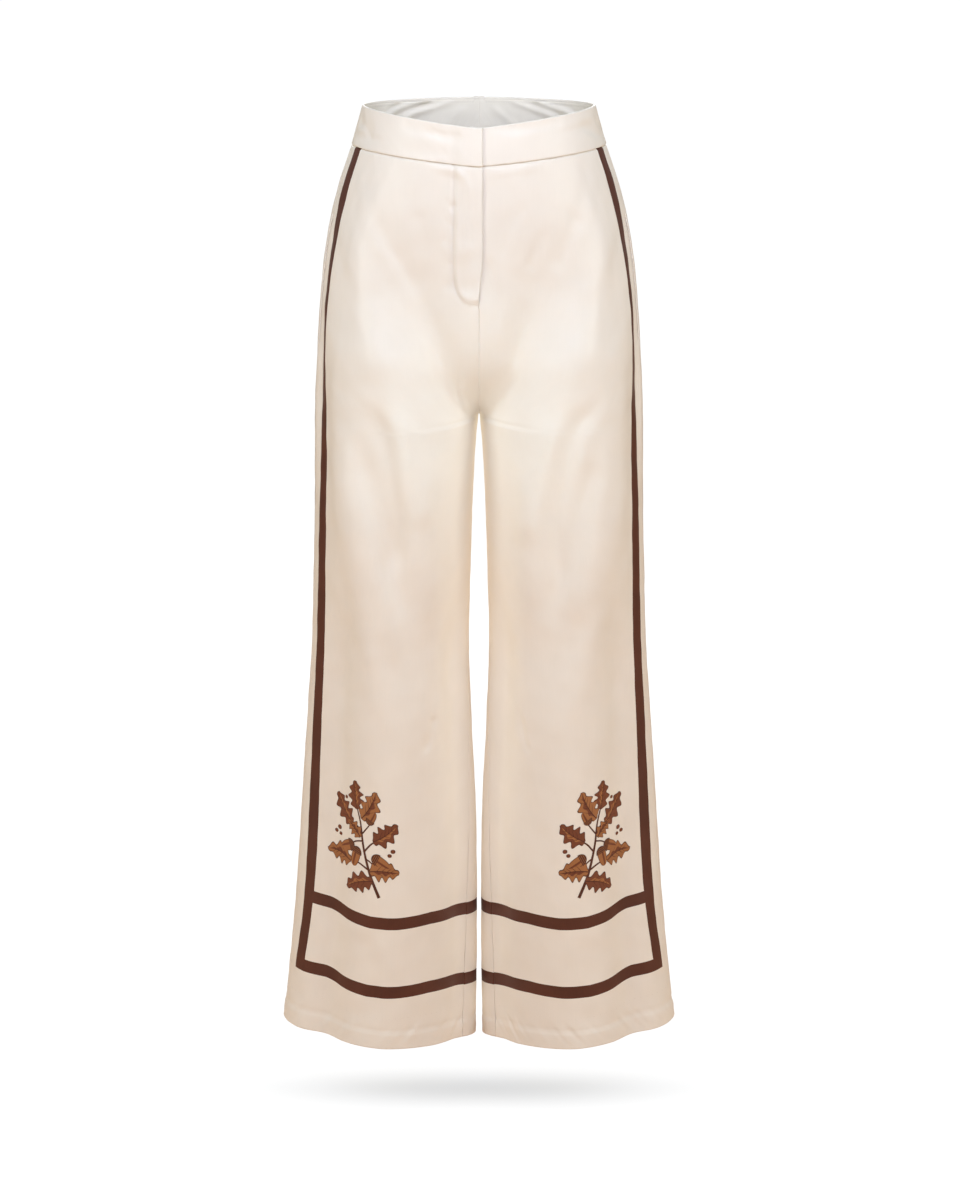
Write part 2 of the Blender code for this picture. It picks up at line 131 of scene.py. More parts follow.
# ---------------------------------------------------------------- the finer creases
# Each runs along a smooth path of (turn, z) points. A height above 0 is a ridge, below 0 a trough.
CREASE_COLUMNS = ("legs", "width", "height", "path")
CREASES = (
    # across the waistband
    ("R", 0.0065, -0.0013, ((0.90, -0.017), (0.71, -0.025), (0.60, -0.034))),
    ("R", 0.0055, -0.0011, ((0.92, -0.030), (0.65, -0.035), (0.50, -0.035))),
    ("R", 0.0065, -0.0009, ((0.42, -0.018), (0.25, -0.025), (0.11, -0.031))),
    ("R", 0.0055, -0.0008, ((0.26, -0.022), (0.13, -0.029), (0.03, -0.031))),
    ("R", 0.0072, -0.0006, ((0.39, -0.044), (0.21, -0.048), (0.09, -0.049))),
    ("L", 0.0065, -0.0012, ((0.02, -0.021), (0.15, -0.022), (0.30, -0.020), (0.48, -0.013))),
    ("L", 0.0058, -0.0007, ((0.30, -0.027), (0.55, -0.024), (0.82, -0.017))),
    ("L", 0.0065, -0.0014, ((0.58, -0.021), (0.72, -0.028), (0.92, -0.038))),
    ("L", 0.0055, -0.0012, ((0.80, -0.013), (0.90, -0.024), (1.02, -0.036))),
    ("L", 0.0072, -0.0009, ((1.12, -0.014), (1.36, -0.022), (1.60, -0.020))),
    ("R", 0.0070, -0.0009, ((1.20, -0.026), (1.44, -0.018), (1.70, -0.023))),
    ("L", 0.0058, -0.0007, ((1.62, -0.030), (1.80, -0.026), (1.96, -0.028))),
    ("R", 0.0061, -0.0008, ((1.05, -0.034), (1.22, -0.031), (1.36, -0.036))),
    # round the fly
    ("R", 0.0038, 0.0013, ((0.24, -0.0625), (0.13, -0.0645), (0.067, -0.0685), (0.037, -0.080),
                            (0.029, -0.100), (0.029, -0.154), (0.033, -0.186))),
    ("L", 0.0039, 0.0008, ((0.02, -0.0695), (0.113, -0.0675), (0.28, -0.0605))),
    ("R", 0.0099, 0.0008, ((0.120, -0.148), (0.060, -0.152), (-0.010, -0.152))),
    ("R", 0.0083, -0.0010, ((0.125, -0.190), (0.060, -0.196), (-0.010, -0.198))),
    ("R", 0.0033, -0.0006, ((0.120, -0.098), (0.085, -0.104), (0.050, -0.100))),
    ("R", 0.0033, -0.0005, ((0.122, -0.120), (0.090, -0.124), (0.060, -0.119))),
    ("R", 0.0037, -0.0006, ((0.124, -0.140), (0.095, -0.146), (0.066, -0.143))),
    ("L", 0.0066, -0.0014, ((0.021, -0.160), (0.037, -0.186), (0.050, -0.208), (0.054, -0.245))),
    ("L", 0.0077, 0.0004, ((0.037, -0.236), (0.050, -0.271), (0.062, -0.310))),
    ("R", 0.0060, 0.0011, ((0.071, -0.306), (0.083, -0.325), (0.10, -0.350))),
    ("R", 0.0066, -0.0011, ((0.062, -0.280), (0.087, -0.309), (0.121, -0.332))),
    # over the hips
    ("R", 0.0138, -0.0015, ((0.47, -0.112), (0.396, -0.142), (0.346, -0.160), (0.29, -0.186),
                            (0.25, -0.215))),
    ("R", 0.0103, -0.0008, ((0.224, -0.108), (0.208, -0.135), (0.192, -0.166))),
    ("R", 0.0253, 0.0012, ((0.54, -0.082), (0.515, -0.14), (0.52, -0.21))),
    ("R", 0.0230, -0.0013, ((0.29, -0.205), (0.204, -0.233), (0.125, -0.261), (0.085, -0.300))),
    ("L", 0.0092, -0.0011, ((0.185, -0.102), (0.108, -0.123), (0.079, -0.140), (0.066, -0.168))),
    ("L", 0.0098, -0.0009, ((0.25, -0.130), (0.208, -0.154), (0.174, -0.180))),
    ("L", 0.0138, -0.0013, ((0.45, -0.112), (0.379, -0.144), (0.33, -0.184))),
    ("L", 0.0253, 0.0012, ((0.54, -0.085), (0.505, -0.15), (0.52, -0.22))),
    ("L", 0.0207, -0.0009, ((0.22, -0.215), (0.16, -0.245), (0.11, -0.282))),
    ("LR", 0.0046, -0.0003, ((0.83, -0.296), (0.75, -0.310), (0.68, -0.323))),
    ("R", 0.0052, -0.0003, ((0.675, -0.318), (0.64, -0.326), (0.615, -0.335))),
    # down the thighs
    ("R", 0.0140, -0.0050, ((0.625, -0.320), (0.58, -0.340), (0.55, -0.360), (0.515, -0.405),
                            (0.487, -0.440), (0.473, -0.475), (0.463, -0.540))),
    ("L", 0.0140, -0.0046, ((0.635, -0.316), (0.60, -0.336), (0.56, -0.352), (0.52, -0.390),
                            (0.483, -0.437), (0.46, -0.474), (0.446, -0.545))),
    ("R", 0.0180, 0.0045, ((0.70, -0.342), (0.670, -0.417), (0.630, -0.455), (0.590, -0.495),
                           (0.555, -0.538), (0.490, -0.600), (0.46, -0.650))),
    ("L", 0.0190, 0.0041, ((0.66, -0.350), (0.642, -0.417), (0.608, -0.475), (0.575, -0.528),
                           (0.525, -0.595))),
    ("R", 0.0160, 0.0035, ((0.487, -0.332), (0.446, -0.368), (0.42, -0.396), (0.388, -0.428),
                           (0.35, -0.480))),
    ("L", 0.0170, 0.0031, ((0.483, -0.335), (0.442, -0.368), (0.412, -0.398), (0.372, -0.436),
                           (0.335, -0.500))),
    ("R", 0.0050, -0.0013, ((0.292, -0.698), (0.321, -0.725), (0.350, -0.746))),
    ("L", 0.0050, -0.0015, ((0.276, -0.686), (0.300, -0.720), (0.335, -0.746))),
    # down the lower legs
    ("R", 0.0200, -0.0011, ((0.73, -0.490), (0.69, -0.572), (0.66, -0.640), (0.64, -0.700),
                            (0.635, -0.850))),
    ("L", 0.0200, -0.0010, ((0.72, -0.500), (0.69, -0.580), (0.655, -0.650), (0.64, -0.720),
                            (0.64, -0.870))),
    ("R", 0.0200, -0.0008, ((0.19, -0.560), (0.21, -0.645), (0.24, -0.725), (0.285, -0.785),
                            (0.32, -0.880))),
    ("L", 0.0200, -0.0010, ((0.18, -0.570), (0.205, -0.650), (0.25, -0.730), (0.29, -0.795),
                            (0.33, -0.880))),
    ("R", 0.0170, -0.0010, ((0.59, -0.955), (0.55, -1.020), (0.53, -1.085))),
    ("L", 0.0170, -0.0008, ((0.58, -0.965), (0.55, -1.025), (0.54, -1.090))),
    ("R", 0.0180, 0.0008, ((0.64, -0.935), (0.62, -1.000), (0.62, -1.070))),
    ("L", 0.0180, 0.0007, ((0.65, -0.925), (0.63, -1.000), (0.615, -1.080))),
    ("R", 0.0150, -0.0010, ((0.33, -0.940), (0.275, -1.030), (0.23, -1.095))),
    ("L", 0.0150, -0.0010, ((0.34, -0.930), (0.29, -1.020), (0.245, -1.095))),
    # over the seat
    ("L", 0.0130, -0.0026, ((1.27, -0.085), (1.36, -0.140), (1.50, -0.200))),
    ("R", 0.0120, -0.0023, ((1.33, -0.100), (1.43, -0.155), (1.53, -0.192))),
    ("L", 0.0090, -0.0016, ((1.66, -0.080), (1.72, -0.125), (1.80, -0.165))),
    ("R", 0.0100, -0.0017, ((1.62, -0.088), (1.70, -0.140), (1.79, -0.190))),
    ("L", 0.0150, -0.0032, ((1.94, -0.285), (1.80, -0.330), (1.62, -0.358), (1.44, -0.375))),
    ("R", 0.0140, -0.0029, ((1.93, -0.296), (1.78, -0.338), (1.60, -0.352), (1.48, -0.370))),
    ("L", 0.0110, -0.0025, ((1.91, -0.340), (1.78, -0.385), (1.60, -0.425))),
    ("R", 0.0100, -0.0022, ((1.92, -0.330), (1.76, -0.370), (1.62, -0.396))),
    # down the back of the legs
    ("L", 0.0200, 0.0028, ((1.60, -0.300), (1.56, -0.420), (1.54, -0.560))),
    ("R", 0.0190, 0.0026, ((1.58, -0.320), (1.55, -0.440), (1.55, -0.600))),
    ("L", 0.0180, -0.0030, ((1.34, -0.400), (1.39, -0.520), (1.44, -0.660))),
    ("R", 0.0170, -0.0027, ((1.32, -0.430), (1.38, -0.550), (1.44, -0.700))),
    ("L", 0.0140, -0.0022, ((1.74, -0.430), (1.67, -0.530), (1.60, -0.620))),
    ("R", 0.0140, -0.0020, ((1.72, -0.450), (1.66, -0.560), (1.61, -0.660))),
    ("L", 0.0090, -0.0015, ((1.28, -0.596), (1.45, -0.622), (1.62, -0.612))),
    ("R", 0.0100, -0.0016, ((1.36, -0.634), (1.52, -0.650), (1.68, -0.632))),
    ("L", 0.0180, -0.0024, ((1.28, -0.740), (1.33, -0.900), (1.36, -1.070))),
    ("R", 0.0170, -0.0022, ((1.30, -0.780), (1.33, -0.930), (1.38, -1.080))),
    ("L", 0.0160, 0.0022, ((1.46, -0.790), (1.47, -0.950), (1.48, -1.090))),
    ("R", 0.0160, 0.0020, ((1.48, -0.760), (1.47, -0.940), (1.46, -1.090))),
    # down the outer sides
    ("L", 0.0180, -0.0014, ((1.20, -0.340), (1.19, -0.460), (1.22, -0.590))),
    ("R", 0.0180, -0.0012, ((1.19, -0.370), (1.22, -0.490), (1.20, -0.630))),
    ("L", 0.0190, -0.0011, ((1.18, -0.700), (1.17, -0.860), (1.20, -1.030))),
    ("R", 0.0190, -0.0012, ((1.20, -0.740), (1.18, -0.900), (1.19, -1.060))),
)
CREASE_RING = 0.35          # how far a crease's edges rise the other way
CREASE_FADE = 0.20          # of its length, at each end
CREASE_REACH = 3.2          # widths from its path to where it is no longer felt
PATH_SAMPLES = 8            # between two points of a path
CREASE_CHANGES = 1.6        # how often a crease swells and thins along its path
CREASE_SHIFT = 0.37
CREASE_UNEVEN = 0.22        # of a crease's width and height, less on wide ones
WIDE_CREASE = 0.006
CREASE_SKEW = 0.25          # one side of a crease is steeper than the other
CHART_WIDTH = 0.27          # metres of cloth to one turn, roughly

# Small pulls in the cloth: (legs, place from the centre, z, size, depth).
DIMPLE_COLUMNS = ("legs", "place", "z", "size", "depth")
DIMPLES = (
    ("R", 0.0290, -0.107, 0.0045, 0.0010),
    ("R", 0.0285, -0.128, 0.0042, 0.0009),
    ("R", 0.0292, -0.152, 0.0048, 0.0010),
    ("R", 0.0288, -0.170, 0.0040, 0.0007),
    ("R", 0.0020, -0.2150, 0.0050, 0.0010),
)

# How far a front is drawn in beside the outseam: z, then at the stripe's outer and inner edges.
SIDE_DRAW = (
    (-0.060, 0.0000, 0.0000),
    (-0.107, 0.0004, 0.0004),
    (-0.150, 0.0026, 0.0004),
    (-0.190, 0.0022, -0.0008),
    (-0.225, 0.0020, -0.0010),
    (-0.263, 0.0037, 0.0004),
    (-0.307, 0.0046, 0.0027),
    (-0.336, 0.0050, 0.0046),
    (-0.395, 0.0028, 0.0042),
    (-0.457, 0.0002, 0.0020),
    (-0.560, 0.0004, 0.0028),
    (-0.640, 0.0002, 0.0014),
    (-0.740, 0.0014, 0.0036),
    (-0.870, 0.0012, 0.0040),
    (-0.960, 0.0010, 0.0012),
    (-1.010, 0.0000, 0.0000),
)
DRAW_STOPS = (0.0, 0.014, 0.028, 0.062)
POCKET_MOUTH = (-0.118, -0.276)
MOUTH_DEPTH = 0.0012
MOUTH_REACH = 0.005
MOUTH_FADE = 0.012

# How far the border's bands are slid up, by turn, where the cloth hangs unevenly.
BAND_SLIDE_TURNS = (0.0, 0.12, 0.22, 0.32, 0.44, 0.56, 0.66, 0.74, 0.86, 1.0, 1.2)
BAND_SLIDES = (0.0, 0.0004, 0.0024, 0.0024, -0.0012, -0.0024, 0.0008, 0.0044, 0.0046, 0.0040, 0.0)
SLIDE_LEVELS = (17.3, 18.0, 19.2, 19.9)

# ---------------------------------------------------------------- how finely the shells are cut up
CURVE_SAMPLES = 480
PAST_SEAM = 0.14
ROW_STEP = 0.0032
FRONT_COLUMNS = 60
FLY_COLUMNS = 30
STRIPE_COLUMNS = 5
BACK_COLUMNS = 84
BAND_COLUMNS = 130
BAND_ROWS = 18
BAND_BODY = (0.06, 0.94)     # levels of the waistband between its turned edges
FACING_COLUMNS = 110
FACING_ROWS = 14

# ---------------------------------------------------------------- edges and seams
SEAM_GAP = 0.0001
ROLL_RADIUS = 0.0008
ROLL_STEPS = 4
HEM_RADIUS = 0.0010
RIM_RADIUS = 0.0012
ALLOWANCE = 0.010
BAND_TURNING = 0.006
RIM_TURNING = 0.003
CORNER_SHARE = 0.15         # of the lesser of two depths, added where two turned edges meet
TUCK_HEIGHT = 0.008         # a panel goes this far up behind the waistband
TUCK_DEPTH = 0.0016
TUCK_SLOPE = 0.003
# The rows where a panel comes out from behind the band: metres down, or shares of the slope; depth.
TUCK_ROWS = (
    (-TUCK_HEIGHT, 1.0), (-TUCK_HEIGHT / 2, 1.0), (0.0, 1.0), (0.2, 0.85), (0.45, 0.5), (0.7, 0.15),
)
BAND_PROUD = 0.0005
FLY_ZONE = 0.050
FLY_EDGE = 0.0032            # half the run over which the fly drops at its stitches
FLY_EDGE_TOP_Z = -0.070
FLY_EDGE_FULL_Z = -0.105
UNDER_DEPTH = 0.0003
UNDER_REACH = 0.009
FLOOR_Z = -1.185
FLOOR_SIZE = 400.0

# The border's two bands, as levels of their upper and lower edges.
UPPER_BAND = (18.0, 18.16)
LOWER_BAND = (19.0, 19.17)

# Puckers along sewn edges: how deep, how far they reach from the seam, and how long they are.
PUCKER_DEPTH = 0.00030
SIDE_PUCKER_DEPTH = 0.00011
PUCKER_REACH = 0.011
PUCKER_LENGTHS = (0.0093, 0.0161, 0.0277)
HEM_PUCKER_DEPTH = 0.0010
HEM_PUCKER_REACH = 0.016
HEM_STITCH = 0.023          # above the hem's edge
HEM_STEP = 0.00060
HEM_STEP_REACH = 0.0025
HEM_SLANT = 0.8
PUCKER_CHANGE = 0.083
PUCKER_PHASES = {"L": 0.4, "R": 2.3}
PUCKER_STEADY = 0.65        # the share of a pucker that does not come and go
FACING_LEAST_LIFT = -0.0005
UNEVEN_DEPTH = 0.00008      # of the whole cloth
UNEVEN_SHIFTS = {"L": 0.0, "R": 0.7}
UNEVEN_WAVES = (
    (23.0, 9.0, 0.3), (-17.0, 14.0, 1.9), (31.0, -21.0, 4.2), (11.0, 33.0, 2.7),
    (-41.0, -12.0, 5.1),
)

# The facing inside the waistband.
FACING_TOP_GAP = 0.0026     # below the rim
FACING_FOOT_GAP = 0.0010    # above the waistband's lower seam
FACING_DEPTH = 0.0034       # of its visible face, from the band's outer face
FACING_RADIUS = 0.0004
FACING_CLOTH = 0.0004
FACING_START = {"L": -0.0090, "R": 0.0020}
FACING_CREASES = (
    ("R", 0.0040, 0.0026, ((1.80, 0.004), (1.66, -0.004), (1.50, -0.013), (1.34, -0.030))),
    ("R", 0.0032, 0.0022, ((1.90, 0.000), (1.78, -0.009), (1.64, -0.016), (1.48, -0.034))),
    ("R", 0.0030, 0.0014, ((1.60, 0.004), (1.48, -0.003), (1.36, -0.014))),
    ("L", 0.0042, 0.0024, ((1.76, 0.003), (1.62, -0.006), (1.46, -0.014), (1.30, -0.032))),
    ("L", 0.0032, 0.0020, ((1.88, -0.002), (1.74, -0.011), (1.58, -0.021), (1.44, -0.036))),
    ("LR", 0.0036, 0.0010, ((1.96, -0.006), (1.90, -0.018), (1.80, -0.038))),
)

# The pocket bags, flat inside the fronts.
POCKET_TOP_Z = -0.086
POCKET_END_Z = -0.334
POCKET_WIDTH = 0.148
POCKET_DEPTHS = (0.0022, 0.0034)
POCKET_CORNER = 0.060
POCKET_CLOTH = 0.0004
POCKET_COLUMNS = 26
POCKET_ROWS = 44
POCKET_GAP = 0.0015         # from the outseam
POCKET_CLOSING = 0.004      # over which its layers meet at the foot
POCKET_LEAST_GAP = 0.45
POCKET_FOLD_RATE = 12.0
POCKET_CROWDING = 1.3       # of its columns towards the folded edge

# The fly zip, closed.
ZIP_CENTRE = -0.010
ZIP_DEPTH = 0.0026
ZIP_TOP_Z = -0.069
ZIP_END_Z = -0.191
ZIP_TAPE = (0.0012, 0.0125)
ZIP_TOOTH_PITCH = 0.00095
ZIP_TOOTH_LENGTH = 0.0030
ZIP_TOOTH_RADIUS = 0.00042
ZIP_TOOTH_SHIFT = 0.0006
ZIP_ROWS = 42
ZIP_TAPE_COLUMNS = 7
ZIP_TAPE_CLOTH = 0.0004
ZIP_TOOTH_MARGIN = 0.002
SLIDER_Z = -0.073
SLIDER_OUTLINE = (
    (0.0, 0.0042), (0.0022, 0.0040), (0.0036, 0.0026), (0.0034, 0.0004), (0.0027, -0.0022),
    (0.0019, -0.0040),
)
SLIDER_THICKNESS = 0.0011
SLIDER_LIFT = 0.0003
PULL_THICKNESS = 0.0004
PULL_LIFT = SLIDER_THICKNESS + 0.0004
PULL_LENGTH = 0.012
PULL_WIDTH = 0.0026

# Stitches: rings of (share of the length, share of the radius, lift in radii).
STITCH_RINGS = (
    (-0.5, 0.35, -0.7), (-0.32, 0.9, 0.15), (0.0, 1.0, 0.45), (0.32, 0.9, 0.15), (0.5, 0.35, -0.7),
)
STITCH_SIDES = 6
STITCH_LENGTH = 0.0024
STITCH_PITCH = 0.0030
STITCH_RADIUS = 0.00017
BLIND_LENGTH = 0.0012
BLIND_PITCH = 0.0078
BLIND_DROP = 0.002          # below the hem's upper edge
RUN_SAMPLES = 160
FACING_RUN_SAMPLES = 300
TACK_SAMPLES = 12
FLY_STITCH_PATH = (
    (0.0278, -0.046), (0.0278, -0.060), (0.0275, -0.107), (0.0281, -0.140), (0.0283, -0.171),
    (0.0270, -0.1925), (0.0228, -0.2035), (0.0168, -0.2098), (0.0090, -0.2130), (0.0025, -0.2136),
)
FLY_GROOVE_WIDTH = 0.0028
FLY_GROOVE_DEPTH = 0.0012
FLY_GROOVE_RING = 0.40
TACK_PLACES = (0.0003, 0.0035)
TACK_Z = -0.2150
UNDERSTITCH_DROPS = (0.0012, 0.0019)

# The printed sprig between the knee and the border: a made-up design of oak leaves and acorns.
# Places and heights are measured from the sprig's middle.
SPRIG_PLACE = 0.178
SPRIG_LEVEL = 17.15
PRINT_LIFT = 0.00012
PRINT_LAYER = 0.00005
LEAF_SAMPLES = 56
LEAF_LOBES = 3.6
LEAF_EDGE = 0.0011
LEAF_PHASES = (0.0, 0.45)    # of the lobes on a leaf's two sides
VEIN_SHARES = (0.26, 0.44, 0.60, 0.74)
VEIN_ANGLE = 48.0
VEIN_BEND = 14.0
VEIN_SAMPLES = 8
ACORN_SAMPLES = 20
BERRY_SAMPLES = 15
# Stems: points along each, then the half widths of its two ends.
STEMS = (
    (((-0.024, -0.062), (-0.012, -0.036), (-0.004, -0.008), (0.000, 0.020), (0.006, 0.040)),
     0.0019, 0.0008),
    (((-0.010, -0.032), (0.004, -0.026), (0.018, -0.026)), 0.0011, 0.0007),
    (((-0.005, -0.012), (-0.014, -0.002), (-0.022, 0.002)), 0.0011, 0.0007),
    (((-0.001, 0.012), (0.008, 0.018), (0.015, 0.020)), 0.0011, 0.0007),
    (((-0.003, 0.000), (0.006, -0.002), (0.013, -0.006)), 0.0009, 0.0007),
    (((-0.007, -0.020), (-0.014, -0.024), (-0.019, -0.030)), 0.0009, 0.0007),
    (((-0.002, 0.008), (-0.010, 0.018), (-0.014, 0.024)), 0.0009, 0.0006),
)
# Leaves: foot, direction in degrees from straight up, length, half width, bend in degrees, colour.
LEAVES = (
    (0.005, 0.036, 16.0, 0.034, 0.0118, -24.0, "chestnut"),
    (-0.001, 0.026, -44.0, 0.040, 0.0128, 28.0, "amber"),
    (0.012, 0.018, 58.0, 0.041, 0.0130, -32.0, "chestnut"),
    (-0.016, 0.001, -66.0, 0.037, 0.0124, 26.0, "chestnut"),
    (0.014, -0.027, 70.0, 0.040, 0.0128, 30.0, "amber"),
    (-0.012, -0.034, -74.0, 0.036, 0.0120, -30.0, "amber"),
    (-0.016, -0.044, 96.0, 0.041, 0.0118, 34.0, "chestnut"),
    (0.000, 0.004, 40.0, 0.026, 0.0088, 26.0, "amber"),
)
# Acorns: middle of the cup's rim, direction of the nut, length of the nut, half width.
ACORNS = (
    (0.017, -0.009, 112.0, 0.0165, 0.0066),
    (0.006, -0.016, 164.0, 0.0160, 0.0064),
    (-0.022, -0.020, -118.0, 0.0160, 0.0064),
    (-0.013, 0.026, -30.0, 0.0120, 0.0052),
)
BERRIES = (
    (0.036, 0.006, 0.0026), (0.041, 0.001, 0.0022), (0.034, -0.001, 0.0020),
    (-0.040, -0.008, 0.0024), (-0.036, -0.013, 0.0021), (0.024, 0.046, 0.0020),
)


class TrouserSizes(bpy.types.PropertyGroup):
    """Sizes of the cloth and its border."""

    cloth: bpy.props.FloatProperty(
        name="Cloth", description="Thickness of the satin", default=0.0006, unit="LENGTH")
    stripe_width: bpy.props.FloatProperty(
        name="Stripe width", description="Width of the side stripe", default=0.0156, unit="LENGTH")
    stripe_margin: bpy.props.FloatProperty(
        name="Stripe margin", description="Plain cloth between outseam and stripe",
        default=0.014, unit="LENGTH")
    hem_height: bpy.props.FloatProperty(
        name="Hem", description="Height of the turned-up hem", default=0.025, unit="LENGTH")


def colour_setting(name, description, default):
    """Return the property of a colour."""
    return bpy.props.FloatVectorProperty(
        name=name, description=description, subtype="COLOR", size=3, default=default)


class TrouserColours(bpy.types.PropertyGroup):
    """Colours of the cloth, print and thread."""

    cream: colour_setting("Cream", "The satin's ground", (0.865, 0.800, 0.725))
    brown: colour_setting("Border", "The printed border", (0.094, 0.027, 0.016))
    chestnut: colour_setting("Chestnut", "The sprig's darker leaves", (0.190, 0.056, 0.026))
    amber: colour_setting("Amber", "The sprig's lighter leaves and nuts", (0.380, 0.150, 0.055))
    facing: colour_setting("Facing", "The waistband's inside", (0.95, 0.885, 0.80))
    pocketing: colour_setting("Pocketing", "The pocket bags", (0.74, 0.67, 0.58))
    thread: colour_setting("Thread", "Sewing thread", (0.74, 0.65, 0.56))


class StudioSettings(bpy.types.PropertyGroup):
    """The camera and lights."""

    lens: bpy.props.FloatProperty(name="Lens", description="Focal length, mm", default=85.0)
    distance: bpy.props.FloatProperty(
        name="Distance", description="From camera to trousers", default=3.25, unit="LENGTH")
    height: bpy.props.FloatProperty(
        name="Height", description="Of the camera above the waist", default=0.194, unit="LENGTH")
    tilt: bpy.props.FloatProperty(
        name="Tilt", description="How far the camera looks down", default=np.radians(13.3456),
        subtype="ANGLE")
    surround: bpy.props.FloatProperty(
        name="Surround", description="Strength of the even light from all round", default=0.302)


# Each light: its name, size, power, colour, place and what it faces.
LIGHTS = (
    ("left", (1.0, 2.0), 30.0, (0.963, 0.998, 0.908), (-2.2, -1.6, 0.4), (0.0, 0.0, -0.5)),
    ("right", (1.0, 2.0), 30.8, (0.969, 0.995, 0.905), (2.2, -1.6, 0.4), (0.0, 0.0, -0.5)),
    ("high", (1.6, 0.8), 24.2, (0.641, 0.731, 1.0), (0.0, -1.6, 1.2), (0.0, 0.0, -0.1)),
    ("behind", (2.4, 1.6), 48.0, (1.0, 0.98, 0.96), (0.0, 3.0, 1.0), (0.0, 0.0, -0.5)),
)
GAP_COLOUR = (1.0, 0.92, 0.72)
# The light that comes through between the legs: its size, power, place and what it faces.
GAP_LIGHTS = tuple(
    ("gap", (0.06, height), power, GAP_COLOUR, (0.0, 0.0, z), (aim, 0.0, z))
    for height, power, z in ((0.30, 0.0117, -0.485), (0.46, 0.0100, -0.865)) for aim in (-1.0, 1.0)
)
# Each soft spot: its name, power, colour, place, what it faces and its angle in degrees.
SPOTS = (
    ("crotch", 20.0, (0.52, 0.85, 1.0), (0.0, -1.2, -0.75), (0.0, -0.06, -0.335), 13.0),
    ("inside", 12.0, (1.0, 0.98, 0.94), (0.0, -1.2, 0.55), (0.0, 0.09, -0.010), 10.0),
)
SPOT_RADIUS = 0.12
FLOOR_SEEN = (0.10, 0.10, 0.10)
FLOOR_BOUNCE = (0.73, 0.42, 0.24)
FLOOR_GLOW = 1.0
# The floor's soft shadow under the trousers is painted: these three dim its glow in a soft ellipse,
# giving how much, how wide and deep, and how far forward.
FLOOR_PAINTED_SHADOW = 0.34          # how much darker the floor is under the middle
PAINTED_SHADOW_RADII = (0.225, 0.050)
PAINTED_SHADOW_FORWARD = 0.022
SURROUND_COLOUR = (1.0, 1.04, 0.97)
SURROUND_SEEN = 1.2         # bright enough to be plain white
CAMERA_X = 0.0012
SENSOR_WIDTH = 36.0


# ---------------------------------------------------------------- the surface
def smooth_step(value, start, end):
    """Return 0 before start and 1 past end, with a soft change between them."""
    share = np.clip((value - start) / (end - start), 0.0, 1.0)
    return share * share * (3.0 - 2.0 * share)


def section_at(level):
    """Return the columns of SECTIONS, read off smoothly at a level between two of its rows."""
    table = np.array(SECTIONS)
    below = int(np.clip(np.floor(level), 0, len(table) - 2))
    share = level - below
    first = table[max(below - 1, 0)]
    last = table[min(below + 2, len(table) - 1)]
    start, end = table[below], table[below + 1]
    leave, arrive = (end - first) / 2, (last - start) / 2
    values = (
        start * (1 + 2 * share) * (1 - share) ** 2
        + leave * share * (1 - share) ** 2
        + end * share ** 2 * (3 - 2 * share)
        + arrive * share ** 2 * (share - 1)
    )
    return dict(zip(SECTION_COLUMNS, values))


def fold_height(leg, turn, z):
    """Return how far the long folds lift the cloth at each turn and height of one leg."""
    lift = np.zeros_like(turn)
    for row in FOLDS:
        fold = dict(zip(FOLD_COLUMNS, row))
        if leg not in fold["legs"]:
            continue
        run = np.clip((fold["z_top"] - z) / (fold["z_top"] - fold["z_low"]), 0.0, 1.0)
        centre = fold["turn_top"] + (fold["turn_low"] - fold["turn_top"]) * run
        start = smooth_step(-z, -fold["z_top"], -fold["z_top"] + fold["fade"])
        end = 1.0 - smooth_step(-z, -fold["z_low"] - fold["fade"], -fold["z_low"])
        lift += fold["height"] * np.exp(-(((turn - centre) / fold["width"]) ** 2)) * start * end
    return lift


def line_normals(points):
    """Return the level normals of a line of points, away from the inside of the garment."""
    along = np.gradient(points[:, :2], axis=0)
    along /= np.linalg.norm(along, axis=1)[:, None]
    return np.column_stack((along[:, 1], -along[:, 0], np.zeros(len(points))))


